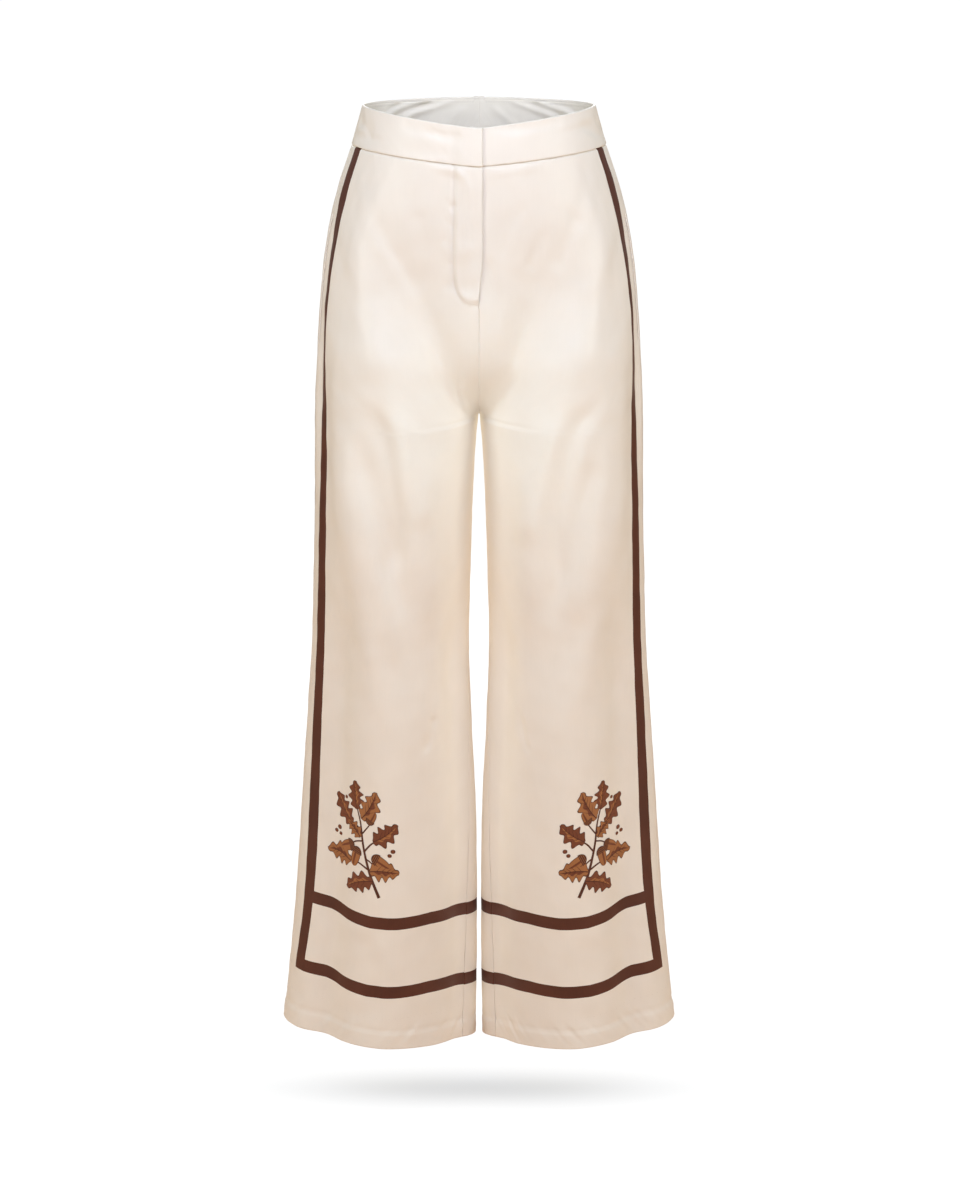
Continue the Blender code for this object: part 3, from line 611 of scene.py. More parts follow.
def level_line(leg, level):
    """Return the cloth's outer line round one half at a level, as a dict of arrays.

    It has the points, their level normals, their turns and their places. The line is the left
    half's and is mirrored later for the right one.
    """
    row = section_at(level)
    leg_line = level >= CROTCH_LEVEL
    turn = np.linspace(-PAST_SEAM, 2.0 + (PAST_SEAM if leg_line else 0.0), CURVE_SAMPLES)
    inner = np.where(turn < 1.0, np.abs(turn), np.abs(2.0 - turn))
    on_back = (turn > 1.0) & (turn <= 2.0)
    if leg_line:
        on_back |= turn < 0.0
    past_centre = (turn < 0.0) & ~on_back

    seam_z = np.where(on_back, row["seam_z"], row["seam_z"] - row["front_dip"])
    z = row["side_z"] + (seam_z - row["side_z"]) * (1 - inner) ** DIP_POWER
    z -= row["mid_drop"] * np.sin(np.pi * inner)
    depth = np.where(on_back, row["back_y"], -row["front_y"])

    sine, cosine = np.sin(np.pi * inner / 2), np.cos(np.pi * inner / 2)
    trunk_x = row["side_x"] * sine ** (2.0 / TRUNK_WIDTH_ROUNDNESS)
    trunk_y = depth * np.maximum(cosine, 0.0) ** (2.0 / TRUNK_DEPTH_ROUNDNESS)
    trunk = np.column_stack((trunk_x, trunk_y))

    half = (row["side_x"] - row["inner_x"]) / 2
    sine, cosine = np.sin(np.pi * inner), np.cos(np.pi * inner)
    power = 2.0 / row["leg_round"]
    tube_x = row["inner_x"] + half - half * np.sign(cosine) * np.abs(cosine) ** power
    tube = np.column_stack((tube_x, depth * np.maximum(sine, 0.0) ** power))

    under = np.clip((UNDER_TOP_Z - seam_z) / (UNDER_TOP_Z - CROTCH_Z), 0.0, 1.0)
    seam_share = 1.0 - np.sqrt(1.0 - under ** 2)
    body_share = smooth_step(-row["side_z"], -LEG_BLEND_TOP_Z, -LEG_BLEND_END_Z)
    reach = np.exp(-((inner / SEAM_REACH) ** 2))
    share = (reach * seam_share + (1 - reach) * body_share)[:, None]

    flat = trunk * (1 - share) + tube * share
    flat[past_centre, 0] *= -1.0
    points = np.column_stack((flat, z))
    points += line_normals(points) * fold_height(leg, turn % 2.0, z)[:, None]

    steps = np.linalg.norm(np.diff(points, axis=0), axis=1)
    places = np.concatenate(([0.0], np.cumsum(steps)))
    places -= np.interp(0.0, turn, places)
    return {"points": points, "normals": line_normals(points), "turns": turn, "places": places}


def place_of(line, turn):
    """Return the distance along a level line to a turn."""
    return float(np.interp(turn, line["turns"], line["places"]))


def between(at, known, vectors):
    """Return vectors read off at stations between the known ones."""
    return np.column_stack([np.interp(at, known, vectors[:, axis]) for axis in range(3)])


def read_line(line, places):
    """Return the points, unit normals and turns of a level line at the given places along it."""
    known = line["places"]
    points, normals = (between(places, known, line[part]) for part in ("points", "normals"))
    turns = np.interp(places, known, line["turns"])
    return points, normals / np.linalg.norm(normals, axis=1)[:, None], turns


def front_seam_z(level):
    """Return the height of a level line's start at the front centre or the inner side."""
    row = section_at(level)
    return row["seam_z"] - row["front_dip"]


def side_height(level):
    """Return a level's height at the side, even a little past the first or last row."""
    return section_at(level)["side_z"]


def side_heights(levels):
    """Return the heights at the side of several levels."""
    return np.array([side_height(level) for level in levels])


def level_past(level, metres):
    """Return the level that lies that many metres below another, measured at the side."""
    slope = (side_height(level + 0.01) - side_height(level - 0.01)) / 0.02
    return level - metres / slope


def level_at(z, height_of, count=400):
    """Return the level at which a height function of levels reaches z."""
    levels = np.linspace(0.0, HEM_LEVEL, count)
    heights = np.array([height_of(level) for level in levels])
    return np.interp(-np.asarray(z), -heights, levels)


def fly_edge(leg, z):
    """Return a front's edge as a place, at a centre seam height. Past the centre is below 0."""
    if leg == "R":
        return -FLY_OVERLAP * (1.0 - smooth_step(-z, -FLY_CURVE_Z - FLY_CURVE_HEIGHT, -FLY_END_Z))
    return -FLY_UNDERLAP * (1.0 - smooth_step(-z, -FLY_CURVE_Z, -UNDERLAP_END_Z))


def fly_raise(place, z):
    """Return the fly's lift of the right front, at a place from the centre and a seam height."""
    curve = smooth_step(-z, -FLY_CURVE_Z, -RAISE_END_Z)
    reach = FLY_STITCH * (1.0 - FLY_CURVE_SHARE * curve)
    across = 1.0 - smooth_step(place, FLY_FLAT_SHARE * reach, reach)
    return FLY_RAISE * across * (1.0 - smooth_step(-z, -FLY_END_Z, -RAISE_END_Z))


def under_fly(place, z):
    """Return how far the left half sinks beside the edge that laps over it."""
    run = 1.0 - smooth_step(-z, -FLY_CURVE_Z, -FLY_END_Z)
    return UNDER_DEPTH * run * np.exp(-((np.maximum(place, 0.0) / UNDER_REACH) ** 2))


# ---------------------------------------------------------------- creases and puckers
def smooth_path(points):
    """Return a smooth line of samples through a few points."""
    points = np.array(points)
    ends = (2 * points[0] - points[1], 2 * points[-1] - points[-2])
    padded = np.vstack((ends[0], points, ends[1]))
    share = np.linspace(0.0, 1.0, PATH_SAMPLES, endpoint=False)[:, None]
    line = [
        0.5 * (2 * b + (c - a) * share + (2 * a - 5 * b + 4 * c - d) * share ** 2
               + (3 * b - a - 3 * c + d) * share ** 3)
        for a, b, c, d in zip(padded, padded[1:], padded[2:], padded[3:])
    ]
    return np.vstack((*line, points[-1:]))


def path_distance(spots, path):
    """Return how far spots are from a path, on which side, and how far along it they lie."""
    runs = np.diff(path, axis=0)
    lengths = np.linalg.norm(runs, axis=1)
    offsets = spots[:, None] - path[None, :-1]
    shares = np.clip((offsets * runs).sum(axis=2) / lengths ** 2, 0.0, 1.0)
    gaps = offsets - shares[..., None] * runs
    distances = np.linalg.norm(gaps, axis=2)
    nearest = distances.argmin(axis=1)
    pick = (np.arange(len(spots)), nearest)
    side = np.sign(runs[nearest, 0] * gaps[pick][:, 1] - runs[nearest, 1] * gaps[pick][:, 0])
    before = np.concatenate(([0.0], np.cumsum(lengths)))
    along = (before[nearest] + shares[pick] * lengths[nearest]) / before[-1]
    return distances[pick], side, along


def crease_height(leg, across, z, creases=CREASES):
    """Return how far the finer creases lift the cloth: soft, uneven, and fading at both ends."""
    lift = np.zeros_like(across)
    for number, row in enumerate(creases):
        crease = dict(zip(CREASE_COLUMNS, row))
        if leg not in crease["legs"]:
            continue
        path = smooth_path(np.array(crease["path"]) * (CHART_WIDTH, 1.0))
        reach = CREASE_REACH * crease["width"]
        low, high = path.min(axis=0) - reach, path.max(axis=0) + reach
        near = (across > low[0]) & (across < high[0]) & (z > low[1]) & (z < high[1])
        if not near.any():
            continue
        distance, side, along = path_distance(np.column_stack((across[near], z[near])), path)
        wave = CREASE_UNEVEN * np.sin(2 * np.pi * (CREASE_CHANGES * along + CREASE_SHIFT * number))
        wave *= min(1.0, WIDE_CREASE / crease["width"])
        width = crease["width"] * (1 + CREASE_SKEW * side * (1 if number % 2 else -1) + wave)
        square = (distance / width) ** 2
        shape = np.exp(-square) - CREASE_RING * square * np.exp(-square / 2) / 2
        fade = smooth_step(along, 0.0, CREASE_FADE) * (1 - smooth_step(along, 1 - CREASE_FADE, 1.0))
        lift[near] += crease["height"] * shape * fade * (1 + wave)
    return lift


def ripple(along, phase):
    """Return an uneven ripple along a seam."""
    waves = [
        np.sin(2 * np.pi * along / length + phase * (number + 1))
        for number, length in enumerate(PUCKER_LENGTHS)
    ]
    swell = np.sin(2 * np.pi * along / PUCKER_CHANGE + phase)
    return sum(waves) / len(waves) * (PUCKER_STEADY + (1 - PUCKER_STEADY) * swell)


def uneven_cloth(across, z):
    """Return the slight unevenness of cloth that hangs free."""
    waves = [
        np.sin(2 * np.pi * (turns * across + rises * z) + phase)
        for turns, rises, phase in UNEVEN_WAVES
    ]
    return UNEVEN_DEPTH * sum(waves)


def side_draw(distance, z):
    """Return how far a front is drawn in at a distance from the outseam and a height."""
    table = np.array(SIDE_DRAW)
    outer = np.interp(-z, -table[:, 0], table[:, 1])
    inner = np.interp(-z, -table[:, 0], table[:, 2])
    start, first, second, end = DRAW_STOPS
    return (
        outer * smooth_step(distance, start, first)
        + (inner - outer) * smooth_step(distance, first, second)
        - inner * smooth_step(distance, second, end)
    )


def pocket_mouth(distance, z):
    """Return how far a front's edge sinks at the pocket's mouth."""
    top, low = POCKET_MOUTH
    window = smooth_step(-z, -top, MOUTH_FADE - top)
    window = window * (1 - smooth_step(-z, -low - MOUTH_FADE, -low))
    return MOUTH_DEPTH * window * np.exp(-((distance / MOUTH_REACH) ** 2))


def panel_lift(leg, back, turns, z, places, edges, levels):
    """Return how far creases, seams and the fly lift or sink a panel's cloth.

    edges holds the places of the panel's two side edges in each row.
    """
    across = turns * CHART_WIDTH
    lift = crease_height(leg, across, z) + uneven_cloth(across + UNEVEN_SHIFTS[leg], z)
    phase = PUCKER_PHASES[leg]
    for number, edge in enumerate(edges):
        distance = np.abs(places - edge[:, None])
        fall = np.exp(-((distance / PUCKER_REACH) ** 2))
        lift += SIDE_PUCKER_DEPTH * ripple(z, phase + number) * fall
    heights = side_heights(levels)[:, None]
    below_band = np.maximum(side_height(1.0) - heights, 0.0)
    lift += PUCKER_DEPTH * ripple(places, phase + 2) * np.exp(-((below_band / PUCKER_REACH) ** 2))
    hem_line = heights - side_height(HEM_LEVEL) - HEM_STITCH
    slant = places + HEM_SLANT * hem_line
    reach = np.where(hem_line > 0, HEM_PUCKER_REACH / 2, HEM_PUCKER_REACH)
    lift += HEM_PUCKER_DEPTH * ripple(slant, phase + 3) * np.exp(-((hem_line / reach) ** 2))
    lift += HEM_STEP * (1 - smooth_step(hem_line, -HEM_STEP_REACH, HEM_STEP_REACH))
    lift -= HEM_STEP * np.exp(-((hem_line / HEM_STEP_REACH) ** 2))
    if back:
        return lift
    lift -= side_draw(edges[1][:, None] - places, z) + pocket_mouth(edges[1][:, None] - places, z)
    seam_z = np.array([front_seam_z(level) for level in levels])[:, None]
    if leg == "L":
        lift -= under_fly(places, seam_z)
    else:
        near = (places < FLY_ZONE) & (z > RAISE_END_Z - RAISE_MARGIN)
        spots = np.column_stack((places[near], z[near]))
        path = smooth_path(FLY_STITCH_PATH)
        distance, _, _ = path_distance(spots, path)
        inside = spots[:, 0] < np.interp(spots[:, 1], path[::-1, 1], path[::-1, 0], left=0.0)
        past_stitches = np.where(inside, -distance, distance)
        whole = FLY_RAISE * (1.0 - smooth_step(past_stitches, -FLY_EDGE, FLY_EDGE))
        raised = fly_raise(places, seam_z) * np.ones_like(z)
        low_share = smooth_step(-z[near], -FLY_EDGE_TOP_Z, -FLY_EDGE_FULL_Z)
        raised[near] += (whole - raised[near]) * low_share
        lift += raised
        square = (distance / FLY_GROOVE_WIDTH) ** 2
        ring = FLY_GROOVE_RING * square * np.exp(-square / 2)
        lift[near] -= FLY_GROOVE_DEPTH * (np.exp(-square) - ring)
    for row in DIMPLES:
        dimple = dict(zip(DIMPLE_COLUMNS, row))
        if leg in dimple["legs"]:
            square = (places - dimple["place"]) ** 2 + (z - dimple["z"]) ** 2
            lift -= dimple["depth"] * np.exp(-square / dimple["size"] ** 2)
    return lift


# ---------------------------------------------------------------- grids of cloth
def roll_profile(radius):
    """Return shifts and depths round a turned edge, from the layer inside to the outer face."""
    angles = np.linspace(np.pi, 0.0, ROLL_STEPS + 1)
    return radius * (1.0 - np.sin(angles)), radius * (1.0 - np.cos(angles))


def turned_edge(length, radius=ROLL_RADIUS):
    """Return the shifts from an edge and the depths of a turned-in allowance and its roll."""
    shifts, depths = roll_profile(radius)
    inside = np.linspace(length, radius * 1.5, 3)
    return np.concatenate((inside, shifts)), np.concatenate((np.full(3, depths[0]), depths))


def both_depths(rows, columns):
    """Return a grid of depths from those of its rows and columns, so that corners lie flat."""
    rows, columns = rows[:, None], columns[None, :]
    return np.maximum(rows, columns) + CORNER_SHARE * np.minimum(rows, columns)


def panel_rows(sizes):
    """Return the levels and depths of a panel's rows, and which of them are its plain body.

    They run from behind the waistband to the turned hem.
    """
    breaks = [level_past(1.0, TUCK_SLOPE)]
    breaks += [float(level) for level in range(2, int(UPPER_BAND[0]))]
    breaks += [*UPPER_BAND, *LOWER_BAND, float(HEM_LEVEL)]
    levels = [breaks[0]]
    for top, low in zip(breaks, breaks[1:]):
        count = max(2, int(round((side_height(top) - side_height(low)) / ROW_STEP)))
        levels += list(np.linspace(top, low, count + 1)[1:])

    top = [level_past(1.0, down if down <= 0 else down * TUCK_SLOPE) for down, _ in TUCK_ROWS]
    depths = [share * TUCK_DEPTH for _, share in TUCK_ROWS]

    shifts, rolls = turned_edge(sizes.hem_height, HEM_RADIUS)
    low = np.array([level_past(levels[-1], -shift) for shift in shifts])[::-1]
    body = [level for level in levels if level < level_past(HEM_LEVEL, -1.5 * HEM_RADIUS)]
    levels = np.concatenate((top, body, low))
    depths = np.concatenate((depths, np.zeros(len(body)), rolls[::-1]))
    return levels, depths, slice(len(top), len(top) + len(body))


def front_columns(leg, level, line, sizes):
    """Return the places of a front's columns, from centre or inseam to outseam, and its edges."""
    row = section_at(level)
    inseam = row["inner_forward"] if level >= CROTCH_LEVEL else 0.0
    near = inseam + SEAM_GAP / 2 + fly_edge(leg, front_seam_z(level))
    far = place_of(line, 1.0) - row["side_forward"] - SEAM_GAP / 2
    shifts, _ = turned_edge(ALLOWANCE)
    stripe = (far - sizes.stripe_margin - sizes.stripe_width, far - sizes.stripe_margin)
    fly_zone = inseam + FLY_ZONE
    places = np.concatenate((
        near + shifts,
        np.linspace(near + 2 * ROLL_RADIUS, fly_zone, FLY_COLUMNS),
        np.linspace(fly_zone, stripe[0], FRONT_COLUMNS + 1)[1:],
        np.linspace(*stripe, STRIPE_COLUMNS + 1)[1:],
        np.linspace(stripe[1], far - 2 * ROLL_RADIUS, STRIPE_COLUMNS + 1)[1:],
        far - shifts[::-1],
    ))
    return places, (near, far)


def back_columns(leg, level, line, sizes):
    """Return the places of a back's columns, from outseam to centre or inseam, and its edges."""
    row = section_at(level)
    inseam = row["inner_forward"] if level >= CROTCH_LEVEL else 0.0
    near = place_of(line, 1.0) - row["side_forward"] + SEAM_GAP / 2
    far = place_of(line, 2.0) + inseam - SEAM_GAP / 2
    shifts, _ = turned_edge(ALLOWANCE)
    stripe = (near + sizes.stripe_margin, near + sizes.stripe_margin + sizes.stripe_width)
    places = np.concatenate((
        near + shifts,
        np.linspace(near + 2 * ROLL_RADIUS, stripe[0], STRIPE_COLUMNS + 1),
        np.linspace(*stripe, STRIPE_COLUMNS + 1)[1:],
        np.linspace(stripe[1], far - 2 * ROLL_RADIUS, BACK_COLUMNS + 1)[1:],
        far - shifts[::-1],
    ))
    return places, (near, far)


def read_lines(leg, levels, columns_at):
    """Return the points, normals, turns, places and edges of a grid on a stack of lines."""
    points, normals, turns, places, edges = [], [], [], [], []
    for level in levels:
        line = level_line(leg, level)
        row_places, row_edges = columns_at(leg, level, line)
        row_points, row_normals, row_turns = read_line(line, row_places)
        points.append(row_points)
        normals.append(row_normals)
        turns.append(row_turns)
        places.append(row_places)
        edges.append(row_edges)
    return np.array(points), np.array(normals), np.array(turns), np.array(places), np.array(edges).T


def slide_bands(grid, turns, levels):
    """Slide a panel's points up or down round the border, where the cloth hangs unevenly."""
    start, full, last, end = SLIDE_LEVELS
    window = smooth_step(levels, start, full) * (1 - smooth_step(levels, last, end))
    up = -np.gradient(grid, axis=0)
    up /= np.maximum(np.linalg.norm(up, axis=2), 1e-9)[..., None]
    slide = np.interp(turns, BAND_SLIDE_TURNS, BAND_SLIDES) * window[:, None]
    return grid + up * slide[..., None]


def panel_grid(leg, back, sizes):
    """Return a panel's points, places and levels, and the surface for prints and stitches."""
    columns_of = back_columns if back else front_columns
    levels, row_depths, body = panel_rows(sizes)

    def columns_at(leg, level, line):
        return columns_of(leg, level, line, sizes)

    points, normals, turns, places, edges = read_lines(leg, levels, columns_at)
    lift = panel_lift(leg, back, turns, points[..., 2], places, edges, levels)
    _, rolls = turned_edge(ALLOWANCE)
    column_depths = np.zeros(places.shape[1])
    column_depths[:len(rolls)] = rolls
    column_depths[-len(rolls):] = rolls[::-1]
    grid = points + normals * (lift - both_depths(row_depths, column_depths))[..., None]
    grid = slide_bands(grid, turns, levels)
    for index, level in enumerate(levels):
        if fly_edge(leg, front_seam_z(level)) > -SEAM_GAP:
            grid[index, :, 0] = np.maximum(grid[index, :, 0], SEAM_GAP / 2)
    flat = slice(len(rolls), -len(rolls))
    surface = make_surface(levels[body], places[body, flat], grid[body, flat])
    return grid, places, levels, surface


def make_surface(levels, places, points):
    """Return a surface to lay things on: its levels, places, points and outward normals."""
    down, along = np.gradient(points, axis=0), np.gradient(points, axis=1)
    normals = np.cross(down, along)
    normals /= np.linalg.norm(normals, axis=2)[..., None]
    return {"levels": levels, "places": places, "cloth": np.concatenate((points, normals), axis=2)}


def read_surface(surface, places, levels):
    """Return the points and outward normals of a surface at places and levels."""
    count, width = surface["places"].shape
    rows = np.interp(levels, surface["levels"], np.arange(count))
    low = np.minimum(rows.astype(int), count - 2)
    share = (rows - low)[:, None]
    sides = []
    for line in (low, low + 1):
        found = np.array([
            np.interp(place, surface["places"][row], np.arange(width))
            for place, row in zip(places, line)
        ])
        left = np.minimum(found.astype(int), width - 2)
        part = (found - left)[:, None]
        near, far = surface["cloth"][line, left], surface["cloth"][line, left + 1]
        sides.append(near * (1 - part) + far * part)
    both = sides[0] * (1 - share) + sides[1] * share
    return both[:, :3], both[:, 3:] / np.linalg.norm(both[:, 3:], axis=1)[:, None]


# ---------------------------------------------------------------- meshes
def grid_faces(rows, columns):
    """Return the faces of a grid that face out where its columns run round from the front."""
    here = (np.arange(rows - 1)[:, None] * columns + np.arange(columns - 1)[None, :]).ravel()
    return np.column_stack((here, here + columns, here + columns + 1, here + 1))


def add_object(name, data):
    """Add an object with its data to the scene, and return it."""
    added = bpy.data.objects.new(name, data)
    bpy.context.scene.collection.objects.link(added)
    return added


def add_mesh(name, vertices, faces, leg, materials, slots=None, weave=None):
    """Add a smooth mesh that rides on the trousers, mirrored for the right half."""
    vertices = vertices.copy()
    faces = [list(face) for face in faces]
    if leg == "R":
        vertices[:, 0] *= -1.0
        faces = [face[::-1] for face in faces]
    mesh = bpy.data.meshes.new(name)
    mesh.from_pydata(vertices.tolist(), [], faces)
    if weave is not None:
        layer = mesh.uv_layers.new(name="weave")
        corners = np.zeros(len(mesh.loops), dtype=np.int32)
        mesh.loops.foreach_get("vertex_index", corners)
        layer.data.foreach_set("uv", weave[corners].astype(np.float32).ravel())
    for material in materials:
        mesh.materials.append(material)
    if slots is not None:
        mesh.polygons.foreach_set("material_index", np.asarray(slots, dtype=np.int32).ravel())
    mesh.shade_smooth()
    piece = add_object(name, mesh)
    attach(piece, BODY)
    return piece


def add_cloth(name, grid, leg, materials, thickness, face_slots=None, weave=None):
    """Add a grid of points as a shell of cloth.

    face_slots gives each face's material. The second half of the materials is the other side.
    """
    rows, columns = grid.shape[:2]
    if weave is None:
        down = np.linalg.norm(np.diff(grid, axis=0), axis=2)
        along = np.linalg.norm(np.diff(grid, axis=1), axis=2)
        down = np.concatenate((np.zeros((1, columns)), np.cumsum(down, axis=0)))
        along = np.concatenate((np.zeros((rows, 1)), np.cumsum(along, axis=1)), axis=1)
        weave = np.column_stack((along.ravel(), -down.ravel()))
    piece = add_mesh(
        name, grid.reshape(-1, 3), grid_faces(rows, columns).tolist(), leg, materials, face_slots,
        weave)
    shell = piece.modifiers.new("thickness", "SOLIDIFY")
    shell.thickness = thickness
    shell.offset = -1.0
    shell.material_offset = len(materials) // 2
    return piece


def add_stitches(name, leg, runs, material, length=STITCH_LENGTH, radius=STITCH_RADIUS):
    """Add short rounded threads as one mesh. runs holds middles, directions and normals."""
    middles, ways, normals = (np.concatenate([run[part] for run in runs]) for part in range(3))
    ways = ways / np.linalg.norm(ways, axis=1)[:, None]
    sides = np.cross(normals, ways)
    sides /= np.linalg.norm(sides, axis=1)[:, None]
    ups = np.cross(ways, sides)
    angles = np.linspace(0.0, 2 * np.pi, STITCH_SIDES, endpoint=False)
    vertices = []
    for share, size, rise in STITCH_RINGS:
        centre = middles + ways * share * length + ups * rise * radius
        for angle in angles:
            vertices.append(centre + (sides * np.cos(angle) + ups * np.sin(angle)) * size * radius)
    vertices = np.array(vertices).transpose(1, 0, 2)
    count = vertices.shape[1]
    ring = np.arange(STITCH_SIDES)
    faces = []
    for number in range(len(STITCH_RINGS) - 1):
        here, there = number * STITCH_SIDES, (number + 1) * STITCH_SIDES
        for side in ring:
            after = (side + 1) % STITCH_SIDES
            faces.append([here + side, here + after, there + after, there + side])
    faces.append([int(side) for side in ring[::-1]])
    faces.append([int(side) + count - STITCH_SIDES for side in ring])
    every = [
        [int(corner) + stitch * count for corner in face]
        for stitch in range(len(middles)) for face in faces
    ]
    return add_mesh(name, vertices.reshape(-1, 3), every, leg, [material])


def stitch_run(surface, places, levels, pitch=STITCH_PITCH):
    """Return middles, directions and normals of stitches set evenly along a path on a surface."""
    points, normals = read_surface(surface, places, levels)
    steps = np.concatenate(([0.0], np.cumsum(np.linalg.norm(np.diff(points, axis=0), axis=1))))
    spots = np.arange(pitch / 2, steps[-1] - pitch / 2, pitch)
    middles = between(spots, steps, points)
    ahead = between(spots + pitch / 4, steps, points)
    return middles, ahead - middles, between(spots, steps, normals)


# ---------------------------------------------------------------- materials
SLUB_SHARE = 0.4            # how much slubs count beside clouds in a cloth's colour
SLUB_SCALE = (900.0, 30.0, 1.0)
CLOUD_SCALE = 22.0
CLOUD_RANGE = (0.35, 0.65)
TWIST_SCALE = 900.0
SCUFF_SCALE = 1400.0
REVERSE_PRINT = (0.45, 0.25)    # how much of the brown and of the cream shows from behind

# Each finish: roughness, sheen, specular level, threads per metre, float length, thread height
# and contrast.
SATIN = (0.42, 0.06, 0.45, 2600.0, 5.0, 0.00004, 0.022)
SATIN_REVERSE = (0.66, 0.05, 0.30, 2600.0, 1.6, 0.00006, 0.06)
PRINTED = (0.46, 0.04, 0.40, 2600.0, 5.0, 0.00005, 0.16)
LINING = (0.62, 0.06, 0.35, 2100.0, 1.5, 0.00006, 0.06)
TWILL = (0.80, 0.10, 0.25, 1300.0, 1.0, 0.00010, 0.10)
TAPE = (0.72, 0.05, 0.30, 1500.0, 2.0, 0.00012, 0.12)


def fill(tree, node, inputs):
    """Set a node's inputs: a socket is linked in, and anything else is its constant."""
    for key, value in inputs.items():
        if isinstance(value, bpy.types.NodeSocket):
            tree.links.new(value, node.inputs[key])
        else:
            node.inputs[key].default_value = value


def add_node(tree, kind, inputs, **settings):
    """Add a shader node with its settings and inputs, and return it."""
    node = tree.nodes.new("ShaderNode" + kind)
    for key, value in settings.items():
        setattr(node, key, value)
    fill(tree, node, inputs)
    return node


def new_group(name, inputs, outputs):
    """Return an empty shader node group, its input node and its output node."""
    group = bpy.data.node_groups.new(name, "ShaderNodeTree")
    for label, kind, value in inputs:
        socket = group.interface.new_socket(label, in_out="INPUT", socket_type=kind)
        if value is not None:
            socket.default_value = value
    for label, kind in outputs:
        group.interface.new_socket(label, in_out="OUTPUT", socket_type=kind)
    return group, group.nodes.new("NodeGroupInput"), group.nodes.new("NodeGroupOutput")


def woven_threads_group():
    """Return the group that gives a weave's fine threads, its slubs and its soft cloudiness.

    Float Length 1 is a plain weave; satin's floats are several threads long.
    """
    group, start, end = new_group(
        "woven_threads",
        [("Position", "NodeSocketVector", None), ("Threads per Metre", "NodeSocketFloat", 2600.0),
         ("Float Length", "NodeSocketFloat", 5.0)],
        [("Height", "NodeSocketFloat"), ("Slub", "NodeSocketFloat"), ("Cloud", "NodeSocketFloat")],
    )
    place = start.outputs["Position"]
    parts = add_node(group, "SeparateXYZ", {0: place})
    shorter = add_node(
        group, "Math", {0: parts.outputs["Y"], 1: start.outputs["Float Length"]},
        operation="DIVIDE")
    joined = add_node(group, "CombineXYZ", {"X": parts.outputs["X"], "Y": shorter.outputs[0]})
    scaled = add_node(
        group, "VectorMath", {0: joined.outputs[0], "Scale": start.outputs["Threads per Metre"]},
        operation="SCALE")
    slub_place = add_node(group, "VectorMath", {0: place, 1: SLUB_SCALE}, operation="MULTIPLY")
    for output, where, scale, detail in (
            ("Height", scaled.outputs[0], 1.0, 1.0), ("Slub", slub_place.outputs[0], 1.0, 2.0),
            ("Cloud", place, CLOUD_SCALE, 3.0)):
        noise = add_node(group, "TexNoise", {"Scale": scale, "Detail": detail, "Vector": where})
        fill(group, end, {output: noise.outputs["Fac"]})
    return group


def shade(colour, share):
    """Return a colour made darker or lighter."""
    return tuple(min(share * channel, 1.0) for channel in colour)


def new_surface(name):
    """Return a new material, its node tree and its surface shader."""
    material = bpy.data.materials.new(name)
    material.use_nodes = True
    tree = material.node_tree
    return material, tree, tree.nodes["Principled BSDF"]


def mixed(tree, factor, low, high):
    """Return the colour between two at a factor."""
    inputs = {"A": (*low, 1.0), "B": (*high, 1.0), "Factor": factor}
    return add_node(tree, "Mix", inputs, data_type="RGBA").outputs["Result"]


def spread(tree, value, low, high):
    """Return a value between 0 and 1 spread from low to high."""
    inputs = {"To Min": low, "To Max": high, "Value": value}
    return add_node(tree, "MapRange", inputs).outputs["Result"]


def bumped(tree, height, strength, distance):
    """Return the normal of a bumpy surface."""
    inputs = {"Strength": strength, "Distance": distance, "Height": height}
    return add_node(tree, "Bump", inputs).outputs["Normal"]


def cloth_material(name, colour, finish):
    """Return a woven cloth of one colour. finish holds its roughness, sheen, threads and so on."""
    if name in bpy.data.materials:
        return bpy.data.materials[name]
    roughness, sheen, specular, threads, floats, height, contrast = finish
    material, tree, surface = new_surface(name)
    place = add_node(tree, "UVMap", {}, uv_map="weave")
    weave = add_node(
        tree, "Group",
        {"Threads per Metre": threads, "Float Length": floats, "Position": place.outputs["UV"]},
        node_tree=bpy.data.node_groups.get("woven_threads") or woven_threads_group())
    slub = weave.outputs["Slub"]
    both = add_node(
        tree, "Math", {0: slub, 1: SLUB_SHARE, 2: weave.outputs["Cloud"]}, operation="MULTIPLY_ADD")
    low, high = CLOUD_RANGE
    cloudy = add_node(tree, "MapRange", {
        "From Min": low + SLUB_SHARE * low, "From Max": high + SLUB_SHARE * high,
        "Value": both.outputs[0]})
    fill(tree, surface, {
        "Sheen Weight": sheen, "Sheen Roughness": 0.4, "Specular IOR Level": specular,
        "Base Color": mixed(
            tree, cloudy.outputs["Result"], shade(colour, 1.0 - contrast),
            shade(colour, 1.0 + contrast / 2)),
        "Roughness": spread(tree, slub, roughness - 0.04, roughness + 0.05),
        "Normal": bumped(tree, weave.outputs["Height"], 0.35, height),
    })
    return material


def satin_set(colours):
    """Return the satin's materials: cream and brown, then the same from the other side."""
    cream, brown = tuple(colours.cream), tuple(colours.brown)
    ink, ground = REVERSE_PRINT
    pale_brown = tuple(ink * b + ground * c for b, c in zip(brown, cream))
    return [
        cloth_material("satin_cream", cream, SATIN),
        cloth_material("satin_brown", brown, PRINTED),
        cloth_material("satin_reverse", cream, SATIN_REVERSE),
        cloth_material("satin_reverse_brown", pale_brown, SATIN_REVERSE),
    ]


